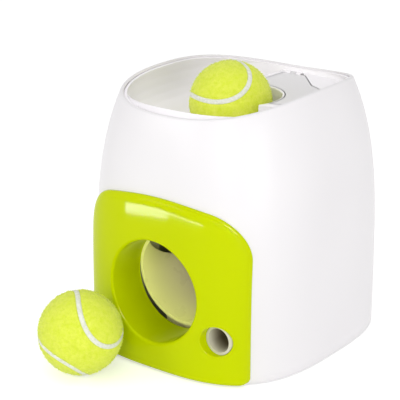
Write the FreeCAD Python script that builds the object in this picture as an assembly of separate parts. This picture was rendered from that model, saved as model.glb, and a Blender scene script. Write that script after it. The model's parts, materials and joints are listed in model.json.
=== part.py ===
import FreeCAD, Part
import math
import os

# Ball and treat launcher for dogs.  A ball dropped into the basin on top lands on a sprung
# lever, tips it, falls into a chute and rolls out at the front.  The lever turns a drum by
# gears, and the drum lets a portion of treats slide out of the small outlet.
#
# Units are millimetres.  The origin is on the floor under the middle of the body, +Z is up,
# the front with both outlets faces -Y, and +X is on the right seen from the front.

os.makedirs("parts", exist_ok=True)

V = FreeCAD.Vector
UP = V(0, 0, 1)
ALONG_X = V(1, 0, 0)
TO_BACK = V(0, 1, 0)
TO_FRONT = V(0, -1, 0)

# ---------------------------------------------------------------- driving dimensions
CLEAR = 0.3            # gap between neighbours that don't fit each other
PAST = 20.0            # how far a cutter runs past the face it starts from
RUN_FIT = 0.05         # radial clearance of a shaft in its bush or of a pin in its hole
SEAT_FIT = 0.03        # radial clearance of a bush, gear or hub on its seat

# tennis balls
BALL_RADIUS = 32.7
FELT_THICK = 2.9
CORE_WALL = 3.3

# body shell
HALF_WIDTH = 95.2      # at the floor, along X
HALF_DEPTH = 106.3     # at the floor, along Y
BARREL_HEIGHT = 206.0  # height at which the taper is complete
TOP_WIDTH_RATIO = 0.817
TOP_DEPTH_RATIO = 0.838
TAPER_POWER = 4.32     # how late the wall turns inwards on its way up
PLAN_POWER_BASE = 3.06   # superellipse power of the plan: 2 is an ellipse, more is squarer
PLAN_POWER_TOP = 2.66
SECTION_DROPS = (146, 101, 66, 36, 14)   # the barrel's sections, below its full height
SHELL_WALL = 3.0
SHELL_LIFT = 1.0       # the shell and the panel stand this far above the floor
RIM_DROP = 2.4         # mean height of the rim, below the barrel's full height
RIM_MEAN = BARREL_HEIGHT - RIM_DROP
RIM_SADDLE = 5.9       # the rim is a saddle: high at the sides, low at front and back
RIM_BACK_RISE = 2.0

# base
BASE_THICK = 3.0
BASE_LIFT = 1.0        # underside of the base plate above the floor
PAD_RADIUS = 9.0
PAD_THICK = 2.0
PAD_FROM_SIDE = 23.2
PAD_FROM_FRONT = 56.3
SHELL_BOSS_INSET = 6.2   # how far inside the wall the four corner bosses are
SHELL_BOSS_RADIUS = 5.0
SHELL_BOSS_HEIGHT = 24.0

# screws
SCREW_RADIUS = 1.5
SCREW_HEAD_RADIUS = 2.8
SCREW_HEAD_THICK = 1.8
SCREW_SLOT = 0.7
SCREW_HOLE_PLAY = 0.3
PILOT_PLAY = 0.06

# front panel
PANEL_PROUD = 4.0
PANEL_FROM_SIDE = 20.2   # the panel's edge inside the body's side
PANEL_TOP = 137.0
PANEL_CROWN = 4.0      # how far the top edge falls towards its corners
PANEL_CORNER = 36.0
PANEL_FOOT_CORNER = 5.0
PANEL_SKIN = 1.3       # left in front of the panel's screw holes
PANEL_SCREW_X = 30.0
PANEL_SCREW_DROP = 19.0  # the upper screws below the panel's top
PANEL_SCREW_RISE = 13.0  # the lower screws above the panel's foot

# ball outlet
OUTLET_Z = 63.5
OUTLET_PLAY = 7.3      # the outlet's radius beyond the ball's
SLEEVE_WALL = 2.5
SLEEVE_DEPTH = 32.0
OUTLET_EDGE = 1.5

# treat outlet
TREAT_GAP = 0.5        # the treat tube beside the side frame
TREAT_Z = 36.0
TREAT_RADIUS = 11.6
TREAT_LIP_WALL = 1.8
TREAT_LIP_DEPTH = 12.0
TREAT_SET_BACK = 2.5   # the treat tube starts this far behind the shell's surface

# top basin
THROAT_Y = -9.0
THROAT_PLAY = 4.8      # the throat's radius beyond the ball's
THROAT_DROP = 24.0     # the throat's edge below the deck
THROAT_LIP = 4.0
BASIN_WALL = 2.5
DECK_DROP = 7.6        # the deck below the rim's mean height
DECK_THICK = 2.5
DECK_RING = 1.0        # the deck's wall stands this far outside the throat
DECK_FRONT_ANGLE = -24.0
DECK_BACK_ANGLE = 112.0
RIM_STEP = 1.4         # top of the basin below the shell's rim
BOWL_STEPS = [         # height over the throat's edge, inside the wall along X and Y, centre along Y
    (7.0, 15.0, 17.0, -2.0),
    (15.0, 5.5, 6.0, 0.0),
    (24.0, 0.8, 0.8, 0.0),
    (31.0, 0.1, 0.1, 0.0),
]

POST_RADIUS = 4.5      # the basin's long posts stand on the base plate
POST_GAP = 0.8         # beside the side frames' flanges
POST_FROM_BACK = 6.0   # in front of the side frames' back end

# treat lid
LID_THICK = 2.5
LID_GAP = 0.5
LID_SHOULDER_RADIUS = 68.0
LID_FRONT_ANGLE = -11.0
LID_SHOULDER_START = 19.0
LID_SHOULDER_END = 60.0
LID_NECK_LEFT = -10.0
LID_NECK_RIGHT = 6.0
HINGE_FROM_BACK = 27.3
HINGE_PIN_RADIUS = 1.0
KNUCKLE_RADIUS = 2.3

# ball lever
LEVER_REACH = 60.0     # from the lever's shaft to the throat's axis
LEVER_BELOW_BALL = 25.0
LEVER_TRAVEL = 30.0    # degrees
BALL_FORWARD = 2.0     # the waiting ball's centre in front of the throat's axis
BALL_ABOVE_THROAT = 18.0
CUP_SPREAD = 44.0      # degrees each side of straight down
CUP_WALL = 2.5
CUP_REACH = 21.0       # half the cup's length
HUB_RADIUS = 7.0
HUB_HALF_LENGTH = 12.0
ARM_HALF_WIDTH = 9.0
SHAFT_RADIUS = 3.0
BUSH_WALL = 2.0
BUSH_FLANGE_RADIUS = 7.5
BUSH_FLANGE_THICK = 1.0
BUMPER_BEHIND_SHAFT = 14.0
BUMPER_ABOVE_SHAFT = 1.0
BUMPER_RADIUS = 3.0
BUMPER_THICK = 3.0
CLIP_RADIUS = 5.5
CLIP_THICK = 0.8

# ball chute
CHUTE_PLAY = 4.8       # the chute's radius beyond the ball's
CHUTE_WALL = 2.5
CHUTE_SLOPE = 5.0      # degrees
CHUTE_BACK = 34.0      # centre of the round back end
CHUTE_FOOT_BEHIND = 20.0   # the front foot behind the chute's front end
CHUTE_FOOT_BEFORE = 4.0    # the back foot in front of the round end's centre
CHUTE_SCREW_X = 30.0
CHUTE_EDGE_FRONT = [   # the side walls' edge: behind the front end, and over the outlet's axis
    (-3.0, 29.5),
    (13.0, 15.5),
    (36.0, 2.5),
    (66.0, -2.5),
]
CHUTE_EDGE_BACK = [    # behind the round end's centre, and over the outlet's axis
    (-10.0, 4.5),
    (20.0, 20.5),
]
CHUTE_BACK_RISE = 37.5   # the edge's height behind the round end

# side frames
FRAME_GAP = 1.2        # beside the chute
FRAME_THICK = 2.5
FRAME_BEHIND_SLEEVE = 4.3
FRAME_BACK = 72.0
FRAME_FLANGE = 9.0
FRAME_TOP_EDGE = [     # behind the lever's shaft and below it
    (45.0, 33.0),
    (89.0, 49.0),
]
FRAME_BACK_DROP = 69.0
FRAME_FRONT_DROP = 57.0
WINDOW_RISE = 26.0
WINDOW_EDGE = [        # behind the lever's shaft and below it
    (19.0, 77.0),
    (49.0, 65.0),
    (89.0, 73.0),
    (119.0, 85.0),
]
TAB_BEHIND_SHAFT = 19.0
TAB_BELOW_SHAFT = 4.0
TAB_REACH, TAB_DEPTH = 10.0, 9.0

# gears
MODULE = 1.5
SECTOR_TEETH_FULL = 60
PINION_TEETH = 20
GEAR_WIDTH = 4.0
GEAR_GAP = 2.6         # frame to gear
BACKLASH = 0.25
DRUM_DIRECTION = -62.0   # degrees below the horizontal, from the lever shaft to the drum

# drum and its housing
DRUM_RADIUS = 22.0
DRUM_POCKETS = 4
POCKET_RADIUS = 9.0
POCKET_DEPTH_RADIUS = 19.0
POCKET_END_WALL = 1.5
HOUSING_CLEAR = 0.8
HOUSING_WALL = 2.2
HOUSING_GAP = 2.3      # gear to housing
HOUSING_FROM_SIDE = 14.6   # the housing's outer end inside the body's side
STANDOFF_RADIUS = 21.5   # where the housing's two standoffs are, from the drum's axis
STANDOFF_THICK = 3.0
INLET_HALF = 10.0

# treat chute
TUBE_RADIUS = 9.4
TUBE_WALL = 1.9
SPOUT_RADIUS = 10.4
BEND_FROM_FRONT = 33.8   # the bend behind the body's front
BEND_BESIDE, BEND_RISE = 1.0, 4.0   # the bend from the treat outlet's axis
SPOUT_GAP = 0.4        # under the housing
SPOUT_MOUTH_HALF = 15.0
SPOUT_LEAN = 14.0      # the spout's axis beside the housing's inner end

# hopper
HOPPER_WALL = 2.0
HOPPER_SPAN_ANGLE = 107.0   # from the front end to the back end
HOPPER_FLOOR_SLOPE = 0.40
HOPPER_FLOOR_BESIDE = 11.4  # the floor's lowest point beside the housing's inner end
WELL_BEHIND_THROAT = 3.0    # the well's back wall behind the throat's axis

# ball on the floor
OUT_BALL_X = -40.0
OUT_BALL_GAP = 2.0     # in front of the panel's foremost point


# ---------------------------------------------------------------- small helpers
def box(x0, x1, y0, y1, z0, z1):
    return Part.makeBox(x1 - x0, y1 - y0, z1 - z0, V(x0, y0, z0))


def rod(radius, start, end):
    along = end.sub(start)
    return Part.makeCylinder(radius, along.Length, start, along)


def ring(outer, inner, start, end):
    along = end.sub(start)
    over = V(along)
    over.normalize()
    bore = rod(inner, start.sub(over), end.add(over))
    return rod(outer, start, end).cut(bore)


def fused(shapes):
    result = shapes[0]
    for shape in shapes[1:]:
        result = result.fuse(shape)
    return result.removeSplitter()


def along_x(points, x0, x1):
    """A closed outline of (y, z) points, extruded from x0 to x1."""
    corners = [V(x0, y, z) for y, z in points]
    face = Part.Face(Part.makePolygon(corners + corners[:1]))
    return face.extrude(V(x1 - x0, 0, 0))


def grouped(shapes):
    return Part.makeCompound(shapes)


def save(name, shape):
    shape.exportStep("parts/" + name + ".step")
    print(name, len(shape.Solids), round(shape.Volume, 1), shape.isValid())


def polar(radius, degrees, z=0.0):
    """A point round the throat's axis."""
    angle = math.radians(degrees)
    return V(radius * math.cos(angle), THROAT_Y + radius * math.sin(angle), z)


# ---------------------------------------------------------------- the barrel form
def taper(z):
    return min(max(z, 0.0) / BARREL_HEIGHT, 1.1) ** TAPER_POWER


def plan_size(z, inset):
    share = taper(z)
    half_x = HALF_WIDTH * (1 - (1 - TOP_WIDTH_RATIO) * share) - inset
    half_y = HALF_DEPTH * (1 - (1 - TOP_DEPTH_RATIO) * share) - inset
    power = PLAN_POWER_BASE + (PLAN_POWER_TOP - PLAN_POWER_BASE) * share
    return half_x, half_y, power


def superellipse(half_x, half_y, power, z, centre_y=0.0):
    """A closed smooth curve through 40 points of a superellipse."""
    points = []
    for step in range(40):
        angle = 2 * math.pi * step / 40
        c, s = math.cos(angle), math.sin(angle)
        size = (abs(c) ** power + abs(s) ** power) ** (-1 / power)
        points.append(V(half_x * size * c, centre_y + half_y * size * s, z))
    curve = Part.BSplineCurve()
    curve.interpolate(Points=points, PeriodicFlag=True)
    return Part.Wire(curve.toShape())


def front_y(x, z, inset=0.0):
    """Where the barrel's front surface, or one inset from it, lies at x and z."""
    half_x, half_y, power = plan_size(z, inset)
    return -half_y * (1 - (abs(x) / half_x) ** power) ** (1 / power)


def plan_wire(z, inset):
    return superellipse(*plan_size(z, inset), z)


def barrel(inset, bottom, top):
    sections = [BARREL_HEIGHT - drop for drop in SECTION_DROPS]
    levels = [bottom] + [z for z in sections if bottom < z < top] + [top]
    return Part.makeLoft([plan_wire(z, inset) for z in levels], True, False)


def above_rim(drop):
    """Everything above the saddle-shaped rim, lowered by drop."""
    half_x, half_y, _ = plan_size(RIM_MEAN, 0)
    rows = []
    for i in range(-3, 4):
        row = []
        for j in range(-3, 4):
            x, y = 2 * half_x * i / 3, 2 * half_y * j / 3
            saddle = RIM_SADDLE * ((x / half_x) ** 2 - (y / half_y) ** 2)
            row.append(V(x, y, RIM_MEAN + saddle + RIM_BACK_RISE * y / half_y - drop))
        rows.append(row)
    surface = Part.BSplineSurface()
    surface.interpolate(rows)
    return surface.toShape().extrude(V(0, 0, BARREL_HEIGHT))


TALL = RIM_MEAN + RIM_SADDLE + 4
ABOVE_RIM = above_rim(0)


# ---------------------------------------------------------------- places that pieces share
def corner_place(inset):
    """Where a corner of the floor plan, drawn inset inside the wall, is cut by its diagonal."""
    half_x, half_y, power = plan_size(0, inset)
    size = math.sqrt(0.5) * (2 * math.sqrt(0.5) ** power) ** (-1 / power)
    return half_x * size, half_y * size


BASE_TOP = BASE_LIFT + BASE_THICK
PAD_X, PAD_Y = HALF_WIDTH - PAD_FROM_SIDE, HALF_DEPTH - PAD_FROM_FRONT
SHELL_BOSS_X, SHELL_BOSS_Y = corner_place(SHELL_BOSS_INSET)
SHELL_BOSSES = [(x, y) for x in (-SHELL_BOSS_X, SHELL_BOSS_X) for y in (-SHELL_BOSS_Y, SHELL_BOSS_Y)]

PANEL_HALF_WIDTH = HALF_WIDTH - PANEL_FROM_SIDE
PANEL_SCREWS = [(x, z) for x in (-PANEL_SCREW_X, PANEL_SCREW_X)
                for z in (PANEL_TOP - PANEL_SCREW_DROP, SHELL_LIFT + PANEL_SCREW_RISE)]
OUTLET_RADIUS = BALL_RADIUS + OUTLET_PLAY
SLEEVE_END = -(HALF_DEPTH + PANEL_PROUD) + SLEEVE_DEPTH

DECK_Z = RIM_MEAN - DECK_DROP
DECK_UNDER = DECK_Z - DECK_THICK
THROAT_EDGE_Z = DECK_Z - THROAT_DROP
THROAT_FOOT_Z = THROAT_EDGE_Z - THROAT_LIP
THROAT_RADIUS = BALL_RADIUS + THROAT_PLAY
LID_INNER_RADIUS = THROAT_RADIUS + DECK_RING + BASIN_WALL
HINGE_Y = HALF_DEPTH - HINGE_FROM_BACK
HINGE_Z = DECK_Z - LID_THICK / 2

BALL_REST_Y = THROAT_Y - BALL_FORWARD
BALL_REST_Z = THROAT_EDGE_Z + BALL_ABOVE_THROAT
LEVER_Y = THROAT_Y - LEVER_REACH
LEVER_Z = BALL_REST_Z - LEVER_BELOW_BALL
BUMPER_Y = LEVER_Y + BUMPER_BEHIND_SHAFT
BUMPER_Z = LEVER_Z + BUMPER_ABOVE_SHAFT

CHUTE_RADIUS = BALL_RADIUS + CHUTE_PLAY
CHUTE_OUTER = CHUTE_RADIUS + CHUTE_WALL
CHUTE_FRONT = SLEEVE_END + CLEAR
CHUTE_FEET = (CHUTE_FRONT + CHUTE_FOOT_BEHIND, CHUTE_BACK - CHUTE_FOOT_BEFORE)

FRAME_X = CHUTE_OUTER + FRAME_GAP
FRAME_OUT = FRAME_X + FRAME_THICK
FRAME_FRONT = SLEEVE_END + FRAME_BEHIND_SLEEVE
TREAT_X = FRAME_OUT + TREAT_GAP + TUBE_RADIUS + TUBE_WALL
TAB_Y = LEVER_Y + TAB_BEHIND_SHAFT
TAB_Z = LEVER_Z - TAB_BELOW_SHAFT
TAB_BOSSES = [(side * (FRAME_X - TAB_REACH / 2 - 0.5), TAB_Y) for side in (-1, 1)]
POST_X = FRAME_OUT + FRAME_FLANGE + POST_GAP + POST_RADIUS
POST_Y = FRAME_BACK - POST_FROM_BACK
POSTS = [(-POST_X, POST_Y), (POST_X, POST_Y)]

DRUM_ANGLE = math.radians(DRUM_DIRECTION)
GEAR_CENTRES = MODULE * (SECTOR_TEETH_FULL + PINION_TEETH) / 2
GEAR_X = FRAME_OUT + GEAR_GAP
DRUM_Y = LEVER_Y + GEAR_CENTRES * math.cos(DRUM_ANGLE)
DRUM_Z = LEVER_Z + GEAR_CENTRES * math.sin(DRUM_ANGLE)
HOUSING_INNER = DRUM_RADIUS + HOUSING_CLEAR
HOUSING_OUTER = HOUSING_INNER + HOUSING_WALL
HOUSING_X = GEAR_X + GEAR_WIDTH + HOUSING_GAP
HOUSING_END = HALF_WIDTH - HOUSING_FROM_SIDE
DRUM_X = HOUSING_X + HOUSING_WALL + CLEAR
DRUM_LENGTH = HOUSING_END - HOUSING_WALL - CLEAR - DRUM_X
STANDOFFS = [(DRUM_Y - STANDOFF_RADIUS, DRUM_Z), (DRUM_Y + STANDOFF_RADIUS, DRUM_Z)]

SPOUT_BEND = V(TREAT_X + BEND_BESIDE, BEND_FROM_FRONT - HALF_DEPTH, TREAT_Z + BEND_RISE)
SPOUT_MOUTH_Z = DRUM_Z - HOUSING_OUTER - SPOUT_GAP

FRAME_SCREWS = [(side * (FRAME_OUT + FRAME_FLANGE / 2 + 0.5), y)
                for side in (-1, 1) for y in (FRAME_FRONT + 16, FRAME_BACK - 12)]
CHUTE_SCREWS = [(side * CHUTE_SCREW_X, y) for side in (-1, 1) for y in CHUTE_FEET]
TUBE_SCREWS = [(TREAT_X + 6.0, SPOUT_BEND.y - 4.5)]
FLOOR_SCREWS = FRAME_SCREWS + CHUTE_SCREWS + TUBE_SCREWS

IN_BALL = V(0, BALL_REST_Y, BALL_REST_Z)
OUT_BALL = V(OUT_BALL_X, -(HALF_DEPTH + PANEL_PROUD + OUT_BALL_GAP + BALL_RADIUS), BALL_RADIUS)


def screw(x, y, z, length, way):
    """A pan head screw: its head's seat is at the point, its shank goes along way."""
    seat = V(x, y, z)
    tip = seat.add(V(way).multiply(length))
    head_end = seat.sub(V(way).multiply(SCREW_HEAD_THICK))
    head = rod(SCREW_HEAD_RADIUS, head_end, seat)
    slot = Part.makeBox(SCREW_SLOT, 2 * SCREW_HEAD_RADIUS, SCREW_HEAD_THICK / 2)
    slot.translate(V(-SCREW_SLOT / 2, -SCREW_HEAD_RADIUS, -SCREW_HEAD_THICK))
    slot.Placement = FreeCAD.Placement(V(0, 0, 0), FreeCAD.Rotation(UP, way)).multiply(slot.Placement)
    slot.translate(seat)
    return head.fuse(rod(SCREW_RADIUS, seat, tip)).cut(slot)


def pilot(x, y, z, length, way):
    seat = V(x, y, z)
    return rod(SCREW_RADIUS + PILOT_PLAY, seat, seat.add(V(way).multiply(length)))


def through(x, y, z, length, way):
    seat = V(x, y, z)
    return rod(SCREW_RADIUS + SCREW_HOLE_PLAY, seat, seat.add(V(way).multiply(length)))


# ---------------------------------------------------------------- shell, panel, base
def panel_outline(grow, y0, y1):
    """The panel's front outline as a block along Y: crowned top, large top corners."""
    half = PANEL_HALF_WIDTH + grow
    top = PANEL_TOP + grow
    foot = SHELL_LIFT
    corner_z = top - PANEL_CROWN
    r = PANEL_CORNER
    d = r * (1 - math.sqrt(0.5))
    f = PANEL_FOOT_CORNER
    e = f * (1 - math.sqrt(0.5))
    edges = [
        Part.Arc(V(-half + r, 0, corner_z), V(0, 0, top), V(half - r, 0, corner_z)),
        Part.Arc(V(half - r, 0, corner_z), V(half - d, 0, corner_z - d), V(half, 0, corner_z - r)),
        Part.LineSegment(V(half, 0, corner_z - r), V(half, 0, foot + f)),
        Part.Arc(V(half, 0, foot + f), V(half - e, 0, foot + e), V(half - f, 0, foot)),
        Part.LineSegment(V(half - f, 0, foot), V(-half + f, 0, foot)),
        Part.Arc(V(-half + f, 0, foot), V(-half + e, 0, foot + e), V(-half, 0, foot + f)),
        Part.LineSegment(V(-half, 0, foot + f), V(-half, 0, corner_z - r)),
        Part.Arc(V(-half, 0, corner_z - r), V(-half + d, 0, corner_z - d), V(-half + r, 0, corner_z)),
    ]
    face = Part.Face(Part.Wire([edge.toShape() for edge in edges]))
    block = face.extrude(V(0, y1 - y0, 0))
    block.translate(V(0, y0, 0))
    return block


def make_body_shell():
    shell = barrel(0, SHELL_LIFT, TALL).cut(barrel(SHELL_WALL, SHELL_LIFT - 1, TALL + 1))
    bosses = []
    for x, y in SHELL_BOSSES:
        boss = rod(SHELL_BOSS_RADIUS, V(x, y, BASE_TOP + CLEAR), V(x, y, SHELL_BOSS_HEIGHT))
        wedge = boss.common(barrel(SHELL_WALL / 2, 0, SHELL_BOSS_HEIGHT + 10))
        bosses.append(wedge)
    shell = fused([shell] + bosses)
    for x, y in SHELL_BOSSES:
        shell = shell.cut(pilot(x, y, BASE_TOP - 1, SHELL_BOSS_HEIGHT - BASE_TOP - 3, UP))
    sleeve_hole = OUTLET_RADIUS + SLEEVE_WALL + 0.6
    before = -HALF_DEPTH - PAST
    shell = shell.cut(rod(sleeve_hole, V(0, before, OUTLET_Z), V(0, 0, OUTLET_Z)))
    lip_hole = TREAT_RADIUS + TREAT_LIP_WALL + 0.5
    shell = shell.cut(rod(lip_hole, V(TREAT_X, before, TREAT_Z), V(TREAT_X, 0, TREAT_Z)))
    for x, z in PANEL_SCREWS:
        shell = shell.cut(through(x, before, z, PAST + HALF_DEPTH / 2, TO_BACK))
    return shell.cut(ABOVE_RIM)


def make_front_panel():
    low, high = SHELL_LIFT, PANEL_TOP + PAST
    skin = barrel(-PANEL_PROUD, low - 1, high).cut(barrel(-CLEAR, low - 2, high + 1))
    panel = panel_outline(0, -HALF_DEPTH - PAST, -HALF_DEPTH / 2).common(skin)
    front = -HALF_DEPTH - PANEL_PROUD - 1
    wall = OUTLET_RADIUS + SLEEVE_WALL
    sleeve = rod(wall, V(0, -HALF_DEPTH, OUTLET_Z), V(0, SLEEVE_END, OUTLET_Z))
    lip_wall = TREAT_RADIUS + TREAT_LIP_WALL
    lip_end = front_y(TREAT_X, TREAT_Z) + TREAT_LIP_DEPTH
    lip = rod(lip_wall, V(TREAT_X, front, TREAT_Z), V(TREAT_X, lip_end, TREAT_Z))
    lip = lip.common(barrel(-PANEL_PROUD / 2, 0, high))
    panel = fused([panel, sleeve, lip])
    panel = panel.cut(rod(OUTLET_RADIUS, V(0, front - 1, OUTLET_Z), V(0, 0, OUTLET_Z)))
    panel = panel.cut(rod(TREAT_RADIUS, V(TREAT_X, front - 1, TREAT_Z), V(TREAT_X, 0, TREAT_Z)))
    cone_start = V(0, -HALF_DEPTH - PANEL_PROUD - 0.01, OUTLET_Z)
    cone = Part.makeCone(OUTLET_RADIUS + OUTLET_EDGE, OUTLET_RADIUS, OUTLET_EDGE, cone_start, TO_BACK)
    panel = panel.cut(cone)
    for x, z in PANEL_SCREWS:
        skin_y = front_y(abs(x) + SCREW_RADIUS, z, -PANEL_PROUD)
        panel = panel.cut(pilot(x, skin_y + PANEL_SKIN, z, 20, TO_BACK))
    return panel


def make_base_plate():
    plate = barrel(SHELL_WALL + CLEAR, BASE_LIFT, BASE_TOP)
    for x in (-PAD_X, PAD_X):
        for y in (-PAD_Y, PAD_Y):
            pocket = rod(PAD_RADIUS + CLEAR, V(x, y, -1), V(x, y, PAD_THICK))
            plate = plate.cut(pocket)
    for x, y in SHELL_BOSSES:
        plate = plate.cut(through(x, y, -1, 10, UP))
        plate = plate.cut(rod(SCREW_HEAD_RADIUS + CLEAR, V(x, y, -1), V(x, y, BASE_LIFT + SCREW_HEAD_THICK)))
    for x, y in POSTS:
        plate = plate.cut(through(x, y, -1, 10, UP))
        plate = plate.cut(rod(SCREW_HEAD_RADIUS + CLEAR, V(x, y, -1), V(x, y, BASE_LIFT + SCREW_HEAD_THICK)))
    for x, y in FLOOR_SCREWS:
        plate = plate.cut(pilot(x, y, BASE_LIFT + 0.6, 10, UP))
    return plate


def make_floor_pads():
    return grouped([
        rod(PAD_RADIUS, V(x, y, 0), V(x, y, PAD_THICK))
        for x in (-PAD_X, PAD_X) for y in (-PAD_Y, PAD_Y)
    ])


# ---------------------------------------------------------------- basin and lid
def bowl(wall, top):
    """The bowl's form, grown outwards by wall: a closed solid from the throat to above the rim."""
    throat = THROAT_RADIUS + wall
    wires = [
        superellipse(throat, throat, 2.0, THROAT_FOOT_Z - 2 * BASIN_WALL + wall, THROAT_Y),
        superellipse(throat, throat, 2.0, THROAT_EDGE_Z - 1 - wall, THROAT_Y),
        superellipse(throat + 4, throat + 4, 2.0, THROAT_EDGE_Z + 0.8 - wall, THROAT_Y),
    ]
    for rise, in_x, in_y, centre_y in BOWL_STEPS:
        z = THROAT_EDGE_Z + rise - wall
        half_x, half_y, power = plan_size(z, SHELL_WALL + CLEAR + BASIN_WALL - wall)
        if centre_y:
            power = 2.3
        wires.append(superellipse(half_x - in_x, half_y - in_y, power, z, centre_y))
    wires.append(plan_wire(top, SHELL_WALL + CLEAR + BASIN_WALL - wall))
    return Part.makeLoft(wires, True, False)


def deck_block(wall, top, bottom):
    """The raised deck right of and behind the throat, as a block between two heights."""
    radius = THROAT_RADIUS + DECK_RING + wall
    start = DECK_FRONT_ANGLE + math.degrees(wall / radius)
    end = DECK_BACK_ANGLE - math.degrees(wall / radius)
    first, last = polar(radius, start, bottom), polar(radius, end, bottom)
    middle = polar(radius, (start + end) / 2, bottom)
    right = V(HALF_WIDTH, first.y + 8.0, bottom)
    corner = V(HALF_WIDTH, HALF_DEPTH, bottom)
    back = V(last.x - 2.0, HALF_DEPTH, bottom)
    edges = [
        Part.Arc(first, middle, last).toShape(),
        Part.makeLine(last, back),
        Part.makeLine(back, corner),
        Part.makeLine(corner, right),
        Part.makeLine(right, first),
    ]
    return Part.Face(Part.Wire(edges)).extrude(V(0, 0, top - bottom))


def lid_outline(grow, bottom, top):
    """The lid's outline: a crescent round the throat with a neck to the hinge at the back."""
    inner = LID_INNER_RADIUS - grow
    outer = LID_SHOULDER_RADIUS + grow
    neck_left = LID_NECK_LEFT - grow
    neck_right = LID_NECK_RIGHT + grow
    hinge_side = HINGE_Y + KNUCKLE_RADIUS + grow
    foot_angle = LID_FRONT_ANGLE - math.degrees(grow / inner)
    start = polar(inner, foot_angle, bottom)
    neck_angle = 90 + math.degrees(math.asin(-neck_left / inner)) - 1.0
    end = polar(inner, neck_angle, bottom)
    middle = polar(inner, (foot_angle + neck_angle) / 2, bottom)
    shoulder_end = polar(outer, LID_SHOULDER_END, bottom)
    shoulder_start = polar(outer - 6, LID_SHOULDER_START, bottom)
    shoulder_middle = polar(outer + 1, (LID_SHOULDER_START + LID_SHOULDER_END) / 2, bottom)
    nose = V(shoulder_start.x + 1.0 + grow / 2, start.y + 6.0, bottom)
    edges = [
        Part.Arc(end, middle, start).toShape(),
        Part.makeLine(start, nose),
        Part.makeLine(nose, shoulder_start),
        Part.Arc(shoulder_start, shoulder_middle, shoulder_end).toShape(),
        Part.makeLine(shoulder_end, V(neck_right, hinge_side, bottom)),
        Part.makeLine(V(neck_right, hinge_side, bottom), V(neck_left, hinge_side, bottom)),
        Part.makeLine(V(neck_left, hinge_side, bottom), end),
    ]
    return Part.Face(Part.Wire(edges)).extrude(V(0, 0, top - bottom))


def knuckles():
    """Start and end x of the five knuckles of the lid's hinge; the lid has the second and fourth."""
    first = LID_NECK_LEFT + 0.2
    pitch = (LID_NECK_RIGHT - LID_NECK_LEFT - 0.4) / 3
    return [(first + pitch * i + 0.2, first + pitch * (i + 1) - 0.2) for i in range(3)]


def make_top_basin():
    top = TALL + 2
    outside = bowl(BASIN_WALL, top)
    shell = outside.cut(bowl(0, top + 1))
    form = bowl(BASIN_WALL / 2, top)
    deck = deck_block(0, DECK_Z, THROAT_FOOT_Z).common(form)
    hollow = deck_block(BASIN_WALL, DECK_UNDER, THROAT_FOOT_Z - 5)
    deck = deck.cut(hollow)
    basin = fused([shell.cut(hollow), deck])
    room = barrel(SHELL_WALL + CLEAR, 0, top)
    for x, y in POSTS:
        post = rod(POST_RADIUS, V(x, y, BASE_TOP + CLEAR), V(x, y, DECK_Z - 1)).common(room)
        basin = basin.fuse(post.cut(form) if x < 0 else post)
    for x, y in TAB_BOSSES:
        boss = rod(4.0, V(x, y, TAB_Z + FRAME_THICK + CLEAR), V(x, y, THROAT_EDGE_Z + 12))
        basin = basin.fuse(boss.cut(form))
    bumper_boss = rod(BUMPER_RADIUS + 1.5, V(0, BUMPER_Y, BUMPER_Z + 1.5), V(0, BUMPER_Y, DECK_UNDER))
    basin = basin.fuse(bumper_boss.cut(form))
    bumper_end = V(0, BUMPER_Y, BUMPER_Z + BUMPER_THICK)
    basin = basin.cut(rod(BUMPER_RADIUS + SEAT_FIT, V(0, BUMPER_Y, BUMPER_Z), bumper_end))
    basin = basin.cut(lid_outline(LID_GAP, DECK_UNDER - 1, DECK_Z + 1))
    for index, (x0, x1) in enumerate(knuckles()):
        if index != 1:
            basin = basin.fuse(hinge_knuckle(x0, x1, HINGE_Y + KNUCKLE_RADIUS + 3))
    basin = basin.cut(rod(HINGE_PIN_RADIUS + RUN_FIT, V(LID_NECK_LEFT - 4, HINGE_Y, HINGE_Z),
                          V(LID_NECK_RIGHT + 4, HINGE_Y, HINGE_Z)))
    for x, y in POSTS:
        basin = basin.cut(pilot(x, y, BASE_TOP - 1, 22, UP))
    for x, y in TAB_BOSSES:
        basin = basin.cut(pilot(x, y, TAB_Z, 12, UP))
    return basin.cut(above_rim(RIM_STEP)).removeSplitter()


def hinge_knuckle(x0, x1, root_y):
    """A hinge knuckle and the web that joins it to a plate at root_y."""
    barrel_part = rod(KNUCKLE_RADIUS, V(x0, HINGE_Y, HINGE_Z), V(x1, HINGE_Y, HINGE_Z))
    low = min(root_y, HINGE_Y)
    high = max(root_y, HINGE_Y)
    web = box(x0, x1, low, high, DECK_UNDER, DECK_Z)
    return barrel_part.fuse(web)


def make_treat_lid():
    lid = lid_outline(0, DECK_UNDER, DECK_UNDER + LID_THICK)
    behind = HINGE_Y - KNUCKLE_RADIUS - LID_GAP
    lid = lid.cut(box(LID_NECK_LEFT - 5, LID_NECK_RIGHT + 5, behind, HINGE_Y + 9,
                      DECK_UNDER - 1, DECK_Z + 1))
    x0, x1 = knuckles()[1]
    lid = lid.fuse(hinge_knuckle(x0, x1, behind - 1))
    pin_hole = HINGE_PIN_RADIUS + RUN_FIT
    lid = lid.cut(rod(pin_hole, V(x0 - 1, HINGE_Y, HINGE_Z), V(x1 + 1, HINGE_Y, HINGE_Z)))
    return lid.removeSplitter()


def make_lever_bumper():
    """The rubber stop that the lever's arm rests against from below."""
    return rod(BUMPER_RADIUS, V(0, BUMPER_Y, BUMPER_Z), V(0, BUMPER_Y, BUMPER_Z + BUMPER_THICK))


def make_lid_pin():
    spans = knuckles()
    return rod(HINGE_PIN_RADIUS, V(spans[0][0], HINGE_Y, HINGE_Z), V(spans[2][1], HINGE_Y, HINGE_Z))


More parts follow.
